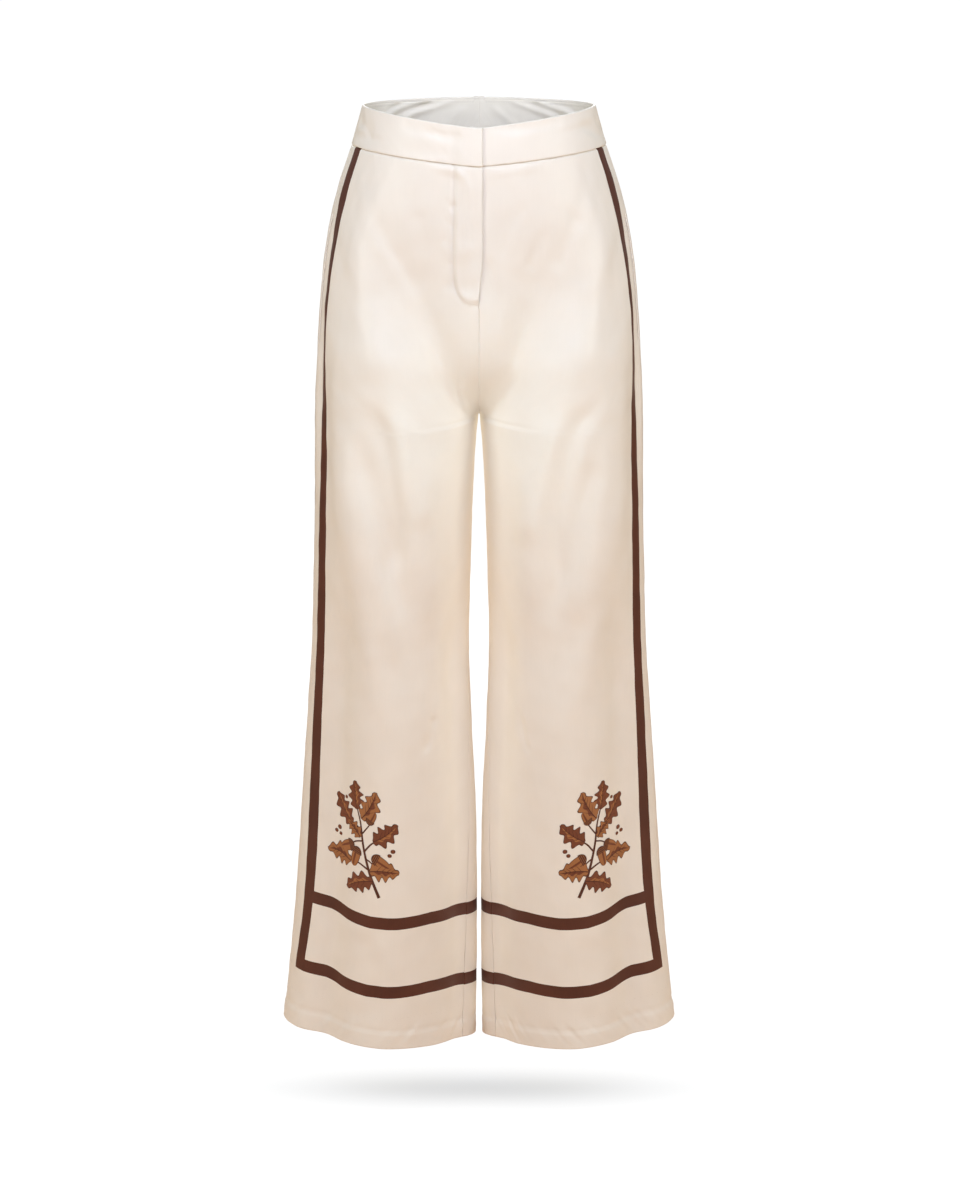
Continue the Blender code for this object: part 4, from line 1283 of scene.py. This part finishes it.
def thread_material(name, colour):
    """Return a twisted sewing thread."""
    if name in bpy.data.materials:
        return bpy.data.materials[name]
    material, tree, surface = new_surface(name)
    place = add_node(tree, "TexCoord", {})
    twist = add_node(
        tree, "TexWave", {"Scale": TWIST_SCALE, "Vector": place.outputs["Object"]},
        bands_direction="DIAGONAL")
    height = twist.outputs["Fac"]
    fill(tree, surface, {
        "Roughness": 0.5, "Sheen Weight": 0.15,
        "Base Color": mixed(tree, height, shade(colour, 0.82), colour),
        "Normal": bumped(tree, height, 0.4, 0.00005),
    })
    return material


def hard_material(name, colour, roughness, metallic):
    """Return a moulded or plated finish with fine scuffs."""
    material, tree, surface = new_surface(name)
    place = add_node(tree, "TexCoord", {})
    scuffs = add_node(
        tree, "TexNoise", {"Scale": SCUFF_SCALE, "Detail": 3.0, "Vector": place.outputs["Object"]})
    scuff = scuffs.outputs["Fac"]
    fill(tree, surface, {
        "Metallic": metallic,
        "Base Color": mixed(tree, scuff, shade(colour, 0.85), colour),
        "Roughness": spread(tree, scuff, roughness - 0.06, roughness + 0.10),
    })
    return material


# ---------------------------------------------------------------- the pieces
def half_name(leg):
    """Return the wearer's side that a leg's letter stands for."""
    return "left" if leg == "L" else "right"


def panel_slots(places, levels, stripe_columns, back):
    """Return each face's material on a panel: 1 where the border is printed, else 0."""
    first, last = stripe_columns
    faces = np.zeros((len(levels) - 1, places.shape[1] - 1), dtype=int)
    middle = (levels[:-1] + levels[1:]) / 2
    faces[middle < LOWER_BAND[1], first:last] = 1
    inward = slice(first, None) if back else slice(None, last)
    for top, low in (UPPER_BAND, LOWER_BAND):
        faces[(middle > top) & (middle < low), inward] = 1
    return faces


def make_panel(leg, back, sizes, colours):
    """Make a front or back panel with its printed border, and return it and its surface."""
    grid, places, levels, surface = panel_grid(leg, back, sizes)
    rolls = len(turned_edge(ALLOWANCE)[0])
    first = rolls + (STRIPE_COLUMNS if back else FLY_COLUMNS + FRONT_COLUMNS - 1)
    slots = panel_slots(places, levels, (first, first + STRIPE_COLUMNS), back)
    name = ("back_" if back else "front_") + half_name(leg)
    piece = add_cloth("cloth_" + name, grid, leg, satin_set(colours), sizes.cloth, slots)
    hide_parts(name)
    return piece, surface


def hem_stitches(leg, name, surface, sizes, colours):
    """Set the hem's small blind stitches."""
    level = level_past(HEM_LEVEL, -(sizes.hem_height - BLIND_DROP))
    row = int(np.argmin(np.abs(surface["levels"] - level)))
    places = np.linspace(surface["places"][row, 1], surface["places"][row, -2], RUN_SAMPLES)
    run = stitch_run(surface, places, np.full(len(places), level), BLIND_PITCH)
    material = thread_material("thread", tuple(colours.thread))
    piece = add_stitches("stitches_" + name, leg, [run], material, BLIND_LENGTH)


def fly_stitches(surface, colours):
    """Set the fly's curved line of stitches and the tack at its foot, on the right front."""
    path = smooth_path(FLY_STITCH_PATH)
    levels = level_at(path[:, 1], front_seam_z)
    run = stitch_run(surface, path[:, 0], np.maximum(levels, surface["levels"][0]))
    tack_places = np.linspace(*TACK_PLACES, TACK_SAMPLES)
    tack_levels = np.full(len(tack_places), float(level_at(TACK_Z, front_seam_z)))
    tack = stitch_run(surface, tack_places, tack_levels, STITCH_PITCH / 4)
    material = thread_material("thread", tuple(colours.thread))
    piece = add_stitches("stitches_fly", "R", [run, tack], material)


class CLOTH_OT_fronts(bpy.types.Operator):
    """Make the two fronts, lapped at the fly, with their stitches and print"""

    bl_idname = "cloth.fronts"
    bl_label = "Fronts"

    def execute(self, context):
        sizes, colours = context.scene.trouser_sizes, context.scene.trouser_colours
        for leg in "LR":
            piece, surface = make_panel(leg, False, sizes, colours)
            hem_stitches(leg, "hem_front_" + half_name(leg), surface, sizes, colours)
            if leg == "R":
                fly_stitches(surface, colours)
            make_sprig(leg, surface, colours)
        return {"FINISHED"}


class CLOTH_OT_backs(bpy.types.Operator):
    """Make the two backs"""

    bl_idname = "cloth.backs"
    bl_label = "Backs"

    def execute(self, context):
        sizes, colours = context.scene.trouser_sizes, context.scene.trouser_colours
        for leg in "LR":
            piece, surface = make_panel(leg, True, sizes, colours)
            hem_stitches(leg, "hem_back_" + half_name(leg), surface, sizes, colours)
        return {"FINISHED"}


def band_grid(leg):
    """Return the points of one half of the waistband."""
    edge = -FLY_OVERLAP if leg == "R" else -FLY_UNDERLAP
    shifts, rolls = turned_edge(BAND_TURNING)
    rim_shifts, rim_rolls = turned_edge(RIM_TURNING, RIM_RADIUS)
    top = [level_past(0.0, shift) for shift in rim_shifts]
    low = [level_past(1.0, -shift) for shift in shifts][::-1]
    body = list(np.linspace(*BAND_BODY, BAND_ROWS))
    levels = np.array(top + body + low)
    row_depths = np.concatenate((rim_rolls, np.zeros(BAND_ROWS), rolls[::-1]))

    def columns_at(leg, level, line):
        far = place_of(line, 2.0) - SEAM_GAP / 2
        between = np.linspace(edge + 2 * ROLL_RADIUS, far - 2 * ROLL_RADIUS, BAND_COLUMNS)
        return np.concatenate((edge + shifts, between, far - shifts[::-1])), (edge, far)

    points, normals, turns, places, _ = read_lines(leg, levels, columns_at)
    column_depths = np.concatenate((rolls, np.zeros(BAND_COLUMNS), rolls[::-1]))
    z = points[..., 2]
    across = turns * CHART_WIDTH
    drop = side_height(1.0) - side_heights(levels)[:, None]
    phase = PUCKER_PHASES[leg]
    lift = BAND_PROUD + crease_height(leg, across, z)
    lift += PUCKER_DEPTH * ripple(places, phase) * np.exp(-((drop / PUCKER_REACH) ** 2))
    lift += PUCKER_DEPTH / 2 * ripple(places + drop, phase + 4)
    lift += fly_raise(places, 0.0) if leg == "R" else -under_fly(places, 0.0)
    return points + normals * (lift - both_depths(row_depths, column_depths))[..., None]


class CLOTH_OT_waistband(bpy.types.Operator):
    """Make the waistband's halves"""

    bl_idname = "cloth.waistband"
    bl_label = "Waistband"

    def execute(self, context):
        sizes, colours = context.scene.trouser_sizes, context.scene.trouser_colours
        for leg in "LR":
            name = "waistband_" + half_name(leg)
            piece = add_cloth("cloth_" + name, band_grid(leg), leg, satin_set(colours), sizes.cloth)
            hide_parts(name)
        return {"FINISHED"}


def facing_grid(leg):
    """Return the points of half the facing, whose face looks into the waist, and its surface."""
    shifts, rolls = turned_edge(2 * FACING_RADIUS + 0.002, FACING_RADIUS)
    top_edge = level_past(0.0, FACING_TOP_GAP)
    foot = level_past(1.0, -FACING_FOOT_GAP)
    top = [level_past(top_edge, shift) for shift in shifts]
    low = [level_past(foot, -shift) for shift in shifts][::-1]
    ends = level_past(top_edge, 2 * FACING_RADIUS), level_past(foot, -2 * FACING_RADIUS)
    body = np.linspace(*ends, FACING_ROWS)
    levels = np.concatenate((top, body, low))
    row_depths = np.concatenate((rolls, np.zeros(FACING_ROWS), rolls[::-1]))
    start = FACING_START[leg]

    def columns_at(leg, level, line):
        far = place_of(line, 2.0) - SEAM_GAP / 2
        between = np.linspace(start + 2 * FACING_RADIUS, far - 2 * FACING_RADIUS, FACING_COLUMNS)
        return np.concatenate((start + shifts, between, far - shifts[::-1])), (start, far)

    points, normals, turns, places, _ = read_lines(leg, levels, columns_at)
    column_depths = np.concatenate((rolls, np.zeros(FACING_COLUMNS), rolls[::-1]))
    across, z = turns * CHART_WIDTH, points[..., 2]
    bulge = np.maximum(crease_height(leg, across, z, FACING_CREASES), FACING_LEAST_LIFT)
    depth = FACING_DEPTH - BAND_PROUD + bulge - both_depths(row_depths, column_depths)
    if leg == "R":
        depth -= fly_raise(places, 0.0)
    grid = points - normals * depth[..., None]
    rows, columns = slice(len(rolls), -len(rolls)), slice(len(rolls), -len(rolls))
    surface = make_surface(levels[rows], places[rows, columns], grid[rows, columns])
    return grid[::-1], surface


class CLOTH_OT_facing(bpy.types.Operator):
    """Make the facing inside the waistband, with its stitches"""

    bl_idname = "cloth.facing"
    bl_label = "Facing"

    def execute(self, context):
        colours = context.scene.trouser_colours
        lining = cloth_material("facing_lining", tuple(colours.facing), LINING)
        thread = thread_material("facing_thread", shade(colours.facing, 0.8))
        for leg in "LR":
            name = "facing_" + half_name(leg)
            grid, surface = facing_grid(leg)
            piece = add_cloth("cloth_" + name, grid, leg, [lining], FACING_CLOTH)
            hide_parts(name)
            runs = []
            for drop in UNDERSTITCH_DROPS:
                level = level_past(0.0, FACING_TOP_GAP + drop)
                ends = surface["places"][0, 1], surface["places"][0, -2]
                places = np.linspace(*ends, FACING_RUN_SAMPLES)
                middles, ways, normals = stitch_run(surface, places, np.full(len(places), level))
                runs.append((middles, ways, -normals))
            stitches = add_stitches("stitches_" + name, leg, runs, thread)
        return {"FINISHED"}


def pocket_grid(leg):
    """Return a flat pocket bag's points: out along its front layer and back along the other."""
    levels = np.linspace(*level_at((POCKET_TOP_Z, POCKET_END_Z), side_height), POCKET_ROWS)
    sides = side_heights(levels)
    rise = np.clip((sides - POCKET_END_Z) / POCKET_CORNER, 0.0, 1.0)
    widths = POCKET_WIDTH - POCKET_CORNER * (1.0 - np.sqrt(1.0 - (1.0 - rise) ** 2))
    shares = np.linspace(0.0, 1.0, POCKET_COLUMNS)
    out = 1.0 - (1.0 - shares) ** POCKET_CROWDING
    front, rear = POCKET_DEPTHS
    rows = []
    for level, width, side in zip(levels, widths, sides):
        line = level_line(leg, level)
        row = section_at(level)
        near = place_of(line, 1.0) - row["side_forward"] - POCKET_GAP
        closing = smooth_step(side, POCKET_END_Z, POCKET_END_Z + POCKET_CLOSING)
        gap = (rear - front) * (POCKET_LEAST_GAP + (1 - POCKET_LEAST_GAP) * closing)
        layers = []
        for depth, order in ((front, out), (front + gap, out[::-1])):
            places = near - width * order
            points, normals, turns = read_line(line, places)
            fade = np.clip((1.0 - order) * POCKET_FOLD_RATE, 0.0, 1.0)
            middle = front + gap / 2
            sink = middle + (depth - middle) * fade + side_draw(near - places, points[:, 2])
            sink -= crease_height(leg, turns * CHART_WIDTH, points[:, 2])
            layers.append(points - normals * sink[:, None])
        rows.append(np.concatenate(layers))
    return np.array(rows)


class CLOTH_OT_pockets(bpy.types.Operator):
    """Make the side pockets' bags"""

    bl_idname = "cloth.pockets"
    bl_label = "Pockets"

    def execute(self, context):
        colours = context.scene.trouser_colours
        twill = cloth_material("pocketing", tuple(colours.pocketing), TWILL)
        for leg in "LR":
            name = "pocket_" + half_name(leg)
            piece = add_cloth("cloth_" + name, pocket_grid(leg), leg, [twill], POCKET_CLOTH)
            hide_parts(name)
        return {"FINISHED"}


def zip_frame(places, heights):
    """Return points and normals behind the fly, at places on the left half and centre heights."""
    points, normals = [], []
    for place, z in zip(places, heights):
        line = level_line("L", float(level_at(z, front_seam_z)))
        point, normal, _ = read_line(line, np.array([place]))
        points.append(point[0] - normal[0] * ZIP_DEPTH)
        normals.append(normal[0])
    return np.array(points), np.array(normals)


def plate(outline, centre, right, up, normal, thickness, rise=0.0):
    """Return the vertices and faces of a rounded plate with a mirror-symmetric outline."""
    half = list(outline)
    full = half + [(-x, y) for x, y in half[::-1] if x > 1e-6]
    vertices = []
    for lift, share in ((0.0, 0.8), (0.25, 1.0), (0.75, 1.0), (1.0, 0.8)):
        for x, y in full:
            height = normal * (rise + lift * thickness)
            vertices.append(centre + right * x * share + up * y * share + height)
    count = len(full)
    faces = []
    for low, high in ((0, count), (count, 2 * count), (2 * count, 3 * count)):
        for here in range(count):
            after = (here + 1) % count
            faces.append([high + here, high + after, low + after, low + here])
    faces.append(list(range(count)))
    faces.append(list(range(3 * count, 4 * count))[::-1])
    return np.array(vertices), faces


class CLOTH_OT_zip(bpy.types.Operator):
    """Make the closed fly zip: its tapes, its teeth and its slider with the pull"""

    bl_idname = "cloth.zip"
    bl_label = "Zip"

    def execute(self, context):
        colours = context.scene.trouser_colours
        tape = cloth_material("zip_tape", shade(colours.thread, 0.9), TAPE)
        moulded = hard_material("zip_teeth", shade(colours.thread, 0.85), 0.35, 0.0)
        plated = hard_material("zip_slider", (0.62, 0.55, 0.46), 0.30, 1.0)
        heights = np.linspace(ZIP_TOP_Z, ZIP_END_Z, ZIP_ROWS)
        levels = level_at(heights, front_seam_z)
        near, far = ZIP_TAPE
        strips = []
        for side in (-1.0, 1.0):
            offsets = ZIP_CENTRE + side * np.linspace(near, far, ZIP_TAPE_COLUMNS)
            strip = []
            for level in levels:
                points, normals, _ = read_line(level_line("L", level), np.sort(offsets))
                strip.append(points - normals * ZIP_DEPTH)
            strips.append(np.array(strip))
        for name, strip in zip(("zip_tape_right", "zip_tape_left"), strips):
            piece = add_cloth(name, strip, "L", [tape], ZIP_TAPE_CLOTH)
            if name == "zip_tape_right":
                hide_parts("fly_zip")

        top, low = ZIP_TOP_Z - ZIP_TOOTH_MARGIN, ZIP_END_Z + ZIP_TOOTH_MARGIN
        down = np.arange(top, low, -ZIP_TOOTH_PITCH)
        points, normals = zip_frame(np.full(len(down), ZIP_CENTRE), down)
        ways = np.cross(np.array([0.0, 0.0, 1.0]), normals)
        sides = np.where(np.arange(len(down)) % 2, ZIP_TOOTH_SHIFT, -ZIP_TOOTH_SHIFT)
        shift = ways * sides[:, None]
        teeth = add_stitches("zip_teeth", "L", [(points + shift, ways, normals)], moulded,
                             ZIP_TOOTH_LENGTH, ZIP_TOOTH_RADIUS)

        centre, normal = zip_frame([ZIP_CENTRE], [SLIDER_Z])
        centre, normal = centre[0], normal[0]
        right = np.cross(np.array([0.0, 0.0, 1.0]), normal)
        right /= np.linalg.norm(right)
        up = np.cross(normal, right)
        pull = ((0.0, 0.0), (PULL_WIDTH / 2, -0.0006), (PULL_WIDTH / 2, -PULL_LENGTH + 0.0008),
                (PULL_WIDTH / 4, -PULL_LENGTH))
        axes = centre, right, up, normal
        body, body_faces = plate(SLIDER_OUTLINE, *axes, SLIDER_THICKNESS, SLIDER_LIFT)
        hanging, hanging_faces = plate(pull, *axes, PULL_THICKNESS, PULL_LIFT)
        faces = body_faces + [[corner + len(body) for corner in face] for face in hanging_faces]
        slider = add_mesh("zip_slider", np.vstack((body, hanging)), faces, "L", [plated])
        return {"FINISHED"}


# ---------------------------------------------------------------- the printed sprig
def turned(degrees):
    """Return the direction that many degrees from straight up, towards the outer side."""
    return np.array([np.sin(np.radians(degrees)), np.cos(np.radians(degrees))])


def bent_spine(foot, degrees, length, bend, samples):
    """Return the points along a spine that starts at its foot and bends evenly."""
    angles = degrees + bend * np.linspace(0.0, 1.0, samples)
    steps = np.array([turned(angle) for angle in angles]) * length / (samples - 1)
    return np.array(foot) + np.vstack((np.zeros(2), np.cumsum(steps[1:], axis=0)))


def print_strip(surface, spine, left, right, layer, across=5):
    """Return the vertices and faces of a printed shape: a spine with a width on each side of it."""
    ahead = np.gradient(spine, axis=0)
    ahead /= np.linalg.norm(ahead, axis=1)[:, None]
    aside = np.column_stack((ahead[:, 1], -ahead[:, 0]))
    shares = np.linspace(-1.0, 1.0, across)
    width = np.where(shares[None, :] < 0, left[:, None], right[:, None]) * shares[None, :]
    spots = spine[:, None] + aside[:, None] * width[..., None]
    places = SPRIG_PLACE + spots[..., 0].ravel()
    slope = side_height(SPRIG_LEVEL - 0.5) - side_height(SPRIG_LEVEL + 0.5)
    levels = SPRIG_LEVEL - spots[..., 1].ravel() / slope
    points, normals = read_surface(surface, places, levels)
    vertices = points + normals * (PRINT_LIFT + PRINT_LAYER * layer)
    faces = grid_faces(len(spine), across)
    mid = len(faces) // 2
    corner = vertices[faces[mid]]
    if np.dot(np.cross(corner[1] - corner[0], corner[3] - corner[0]), normals[faces[mid][0]]) < 0:
        faces = faces[:, ::-1]
    return vertices, faces


def leaf_widths(half_width, phase, grow=0.0):
    """Return the lobed half width along an oak leaf's side."""
    share = np.linspace(0.0, 1.0, LEAF_SAMPLES)
    body = np.sin(np.pi * share ** 0.8) ** 0.7
    lobes = 0.74 + 0.26 * np.cos(2 * np.pi * (LEAF_LOBES * share + phase))
    return np.maximum(half_width * body * lobes, 0.0004) + grow


def sprig_shapes():
    """Yield every shape of the sprig as its spine, left and right half widths, layer and colour."""
    for points, start, end in STEMS:
        spine = smooth_path(points)
        width = np.linspace(start, end, len(spine))
        yield spine, width, width, 1, "brown"
    for x, y, degrees, length, half_width, bend, colour in LEAVES:
        spine = bent_spine((x, y), degrees, length, bend, LEAF_SAMPLES)
        edges = (leaf_widths(half_width, phase, LEAF_EDGE) for phase in LEAF_PHASES)
        yield (spine, *edges, 2, "brown")
        yield (spine, *(leaf_widths(half_width, phase) for phase in LEAF_PHASES), 3, colour)
        light = "amber" if colour == "chestnut" else "chestnut"
        share = np.linspace(0.0, 1.0, LEAF_SAMPLES)
        shade = 0.45 * leaf_widths(half_width, 0.0) * np.sin(np.pi * share)
        yield spine, shade, np.zeros(LEAF_SAMPLES), 4, light
        rib = 0.0006 * (1.0 - 0.7 * share)
        yield spine, rib, rib, 5, "brown"
        for number, where in enumerate(VEIN_SHARES):
            foot = spine[int(where * (LEAF_SAMPLES - 1))]
            heading = degrees + bend * where
            for side in (-1.0, 1.0):
                length_out = half_width * (0.78 - 0.12 * number)
                vein = bent_spine(
                    foot, heading + side * VEIN_ANGLE, length_out, -side * VEIN_BEND, VEIN_SAMPLES)
                thin = np.linspace(0.00035, 0.00012, VEIN_SAMPLES)
                yield vein, thin, thin, 5, "brown"
    for x, y, degrees, length, half_width in ACORNS:
        share = np.linspace(0.0, 1.0, ACORN_SAMPLES)
        nut = bent_spine((x, y), degrees, length, 0.0, ACORN_SAMPLES)
        round_ = half_width * np.sqrt(np.clip(1.0 - share ** 2.6, 0.0, 1.0)) * 0.86
        yield nut, round_ + 0.0006, round_ + 0.0006, 2, "brown"
        yield nut, round_, round_, 3, "amber"
        yield nut, 0.45 * round_, np.zeros(ACORN_SAMPLES), 4, "chestnut"
        cup = bent_spine((x, y), degrees + 180.0, 0.52 * length, 0.0, ACORN_SAMPLES)
        dome = half_width * 1.12 * np.sqrt(np.clip(1.0 - share ** 2.0, 0.0, 1.0))
        yield cup, dome, dome, 4, "brown"
        for row in (3, 8, 13):
            reach = np.linspace(-0.82, 0.82, 10)[:, None] * dome[row]
            line = reach * turned(degrees + 90.0) + cup[row]
            thin = np.full(10, 0.00022)
            yield line, thin, thin, 5, "amber"
    for x, y, size in BERRIES:
        share = np.linspace(-1.0, 1.0, BERRY_SAMPLES)
        spine = np.column_stack((np.full(BERRY_SAMPLES, x), y + size * share))
        disc = size * np.sqrt(np.clip(1.0 - share ** 2, 0.0, 1.0))
        yield spine, disc + 0.0004, disc + 0.0004, 2, "brown"
        yield spine, 0.72 * disc, 0.72 * disc, 3, "chestnut"


def make_sprig(leg, surface, colours):
    """Print the sprig on a front's lower leg."""
    inks = ("brown", "chestnut", "amber")
    materials = [
        cloth_material("print_" + ink, tuple(getattr(colours, ink)), PRINTED) for ink in inks]
    vertices, faces, slots, start = [], [], [], 0
    for spine, left, right, layer, ink in sprig_shapes():
        points, quads = print_strip(surface, spine, left, right, layer)
        vertices.append(points)
        faces.append(quads + start)
        slots += [inks.index(ink)] * len(quads)
        start += len(points)
    vertices = np.vstack(vertices)
    weave = np.column_stack((vertices[:, 0], vertices[:, 2]))
    piece = add_mesh(
        "print_" + half_name(leg), vertices, np.vstack(faces).tolist(), leg, materials, slots,
        weave)


# ---------------------------------------------------------------- the studio
def add_light(kind, name, power, colour, place, aim, **shape):
    """Add a soft light of a kind at a place, facing a point."""
    lamp = bpy.data.lights.new(name, kind)
    lamp.energy, lamp.color = power, colour
    for key, value in shape.items():
        setattr(lamp, key, value)
    holder = add_object(name, lamp)
    holder.location = place
    holder.rotation_euler = (Vector(aim) - Vector(place)).to_track_quat("-Z", "Y").to_euler()


def show_apart(tree, output, light, seen):
    """Let the camera see one shader, and everything else another."""
    path = add_node(tree, "LightPath", {})
    mix = add_node(tree, "MixShader", {
        "Fac": path.outputs["Is Camera Ray"], 1: light.outputs[0], 2: seen.outputs[0]})
    fill(tree, tree.nodes[output], {"Surface": mix.outputs[0]})


def floor_material():
    """Return a pale floor: white to the eye but for a soft shadow, mostly painted and partly cast,
    with a warm bounce.
    """
    material, tree, plain = new_surface("floor")
    tree.nodes.remove(plain)
    bounce = add_node(tree, "BsdfDiffuse", {"Color": (*FLOOR_BOUNCE, 1.0)})
    seen = add_node(tree, "BsdfDiffuse", {"Color": (*FLOOR_SEEN, 1.0)})
    place = add_node(tree, "TexCoord", {})
    # Painted shadow: the floor's glow is dimmed in a soft ellipse under the trousers, over the
    # faint cast shadow that its grey diffuse part shows.
    wide, deep = PAINTED_SHADOW_RADII
    shrink = add_node(tree, "VectorMath", {
        0: place.outputs["Object"], 1: (1.0 / wide, 1.0 / deep, 0.0),
        2: (0.0, PAINTED_SHADOW_FORWARD / deep, 0.0),
    }, operation="MULTIPLY_ADD").outputs[0]
    square = add_node(tree, "VectorMath", {0: shrink, 1: shrink}, operation="DOT_PRODUCT")
    fall = add_node(tree, "Math", {0: np.exp(-1.0), 1: square.outputs["Value"]}, operation="POWER")
    strength = add_node(
        tree, "Math", {0: fall.outputs[0], 1: -FLOOR_PAINTED_SHADOW, 2: FLOOR_GLOW},
        operation="MULTIPLY_ADD")
    glow = add_node(tree, "Emission", {"Strength": strength.outputs[0]})
    both = add_node(tree, "AddShader", {0: seen.outputs[0], 1: glow.outputs[0]})
    show_apart(tree, "Material Output", bounce, both)
    return material


def studio_world(strength, colour):
    """Return an even soft surround that the eye sees as white."""
    world = bpy.data.worlds.new("studio")
    world.use_nodes = True
    tree = world.node_tree
    soft = tree.nodes["Background"]
    fill(tree, soft, {"Color": (*colour, 1.0), "Strength": strength})
    white = add_node(tree, "Background", {"Strength": SURROUND_SEEN})
    show_apart(tree, "World Output", soft, white)
    return world


class STUDIO_OT_stage(bpy.types.Operator):
    """Make the floor, lights and camera"""

    bl_idname = "studio.stage"
    bl_label = "Studio"

    def execute(self, context):
        studio = context.scene.trouser_studio
        camera = bpy.data.cameras.new("camera")
        camera.lens = studio.lens
        camera.sensor_width = SENSOR_WIDTH
        holder = add_object("camera", camera)
        holder.location = (CAMERA_X, -studio.distance, studio.height)
        holder.rotation_euler = (np.pi / 2 - studio.tilt, 0.0, 0.0)
        context.scene.camera = holder

        bpy.ops.mesh.primitive_plane_add(size=FLOOR_SIZE, location=(0.0, 0.0, FLOOR_Z))
        floor = context.active_object
        floor.name = "floor"
        floor.data.materials.append(floor_material())
        context.scene.world = studio_world(studio.surround, SURROUND_COLOUR)
        for name, (width, height), *rest in LIGHTS + GAP_LIGHTS:
            add_light("AREA", name, *rest, shape="RECTANGLE", size=width, size_y=height)
        for name, *rest, angle in SPOTS:
            add_light("SPOT", name, *rest, spot_size=np.radians(angle), spot_blend=1.0,
                      shadow_soft_size=SPOT_RADIUS)
        context.scene.view_settings.view_transform = "Standard"
        return {"FINISHED"}


class CLOTH_PT_trousers(bpy.types.Panel):
    """Lists the steps"""

    bl_label = "Riding trousers"
    bl_idname = "CLOTH_PT_trousers"
    bl_space_type = "VIEW_3D"
    bl_region_type = "UI"
    bl_category = "Trousers"

    def draw(self, context):
        for step in STEPS:
            self.layout.operator(step.bl_idname)


STEPS = (
    CLOTH_OT_fronts, CLOTH_OT_backs, CLOTH_OT_waistband, CLOTH_OT_facing, CLOTH_OT_pockets,
    CLOTH_OT_zip, STUDIO_OT_stage,
)
CLASSES = (TrouserSizes, TrouserColours, StudioSettings, *STEPS, CLOTH_PT_trousers)


def register():
    """Register the classes and put their settings on the scene."""
    for kind in CLASSES:
        bpy.utils.register_class(kind)
    bpy.types.Scene.trouser_sizes = bpy.props.PointerProperty(type=TrouserSizes)
    bpy.types.Scene.trouser_colours = bpy.props.PointerProperty(type=TrouserColours)
    bpy.types.Scene.trouser_studio = bpy.props.PointerProperty(type=StudioSettings)


def unregister():
    """Take the settings and the classes away again."""
    del bpy.types.Scene.trouser_studio
    del bpy.types.Scene.trouser_colours
    del bpy.types.Scene.trouser_sizes
    for kind in reversed(CLASSES):
        bpy.utils.unregister_class(kind)


def main():
    """Make every piece in order."""
    register()
    bpy.ops.cloth.fronts()
    bpy.ops.cloth.backs()
    bpy.ops.cloth.waistband()
    bpy.ops.cloth.facing()
    bpy.ops.cloth.pockets()
    bpy.ops.cloth.zip()
    bpy.ops.studio.stage()


if __name__ == "__main__":
    main()
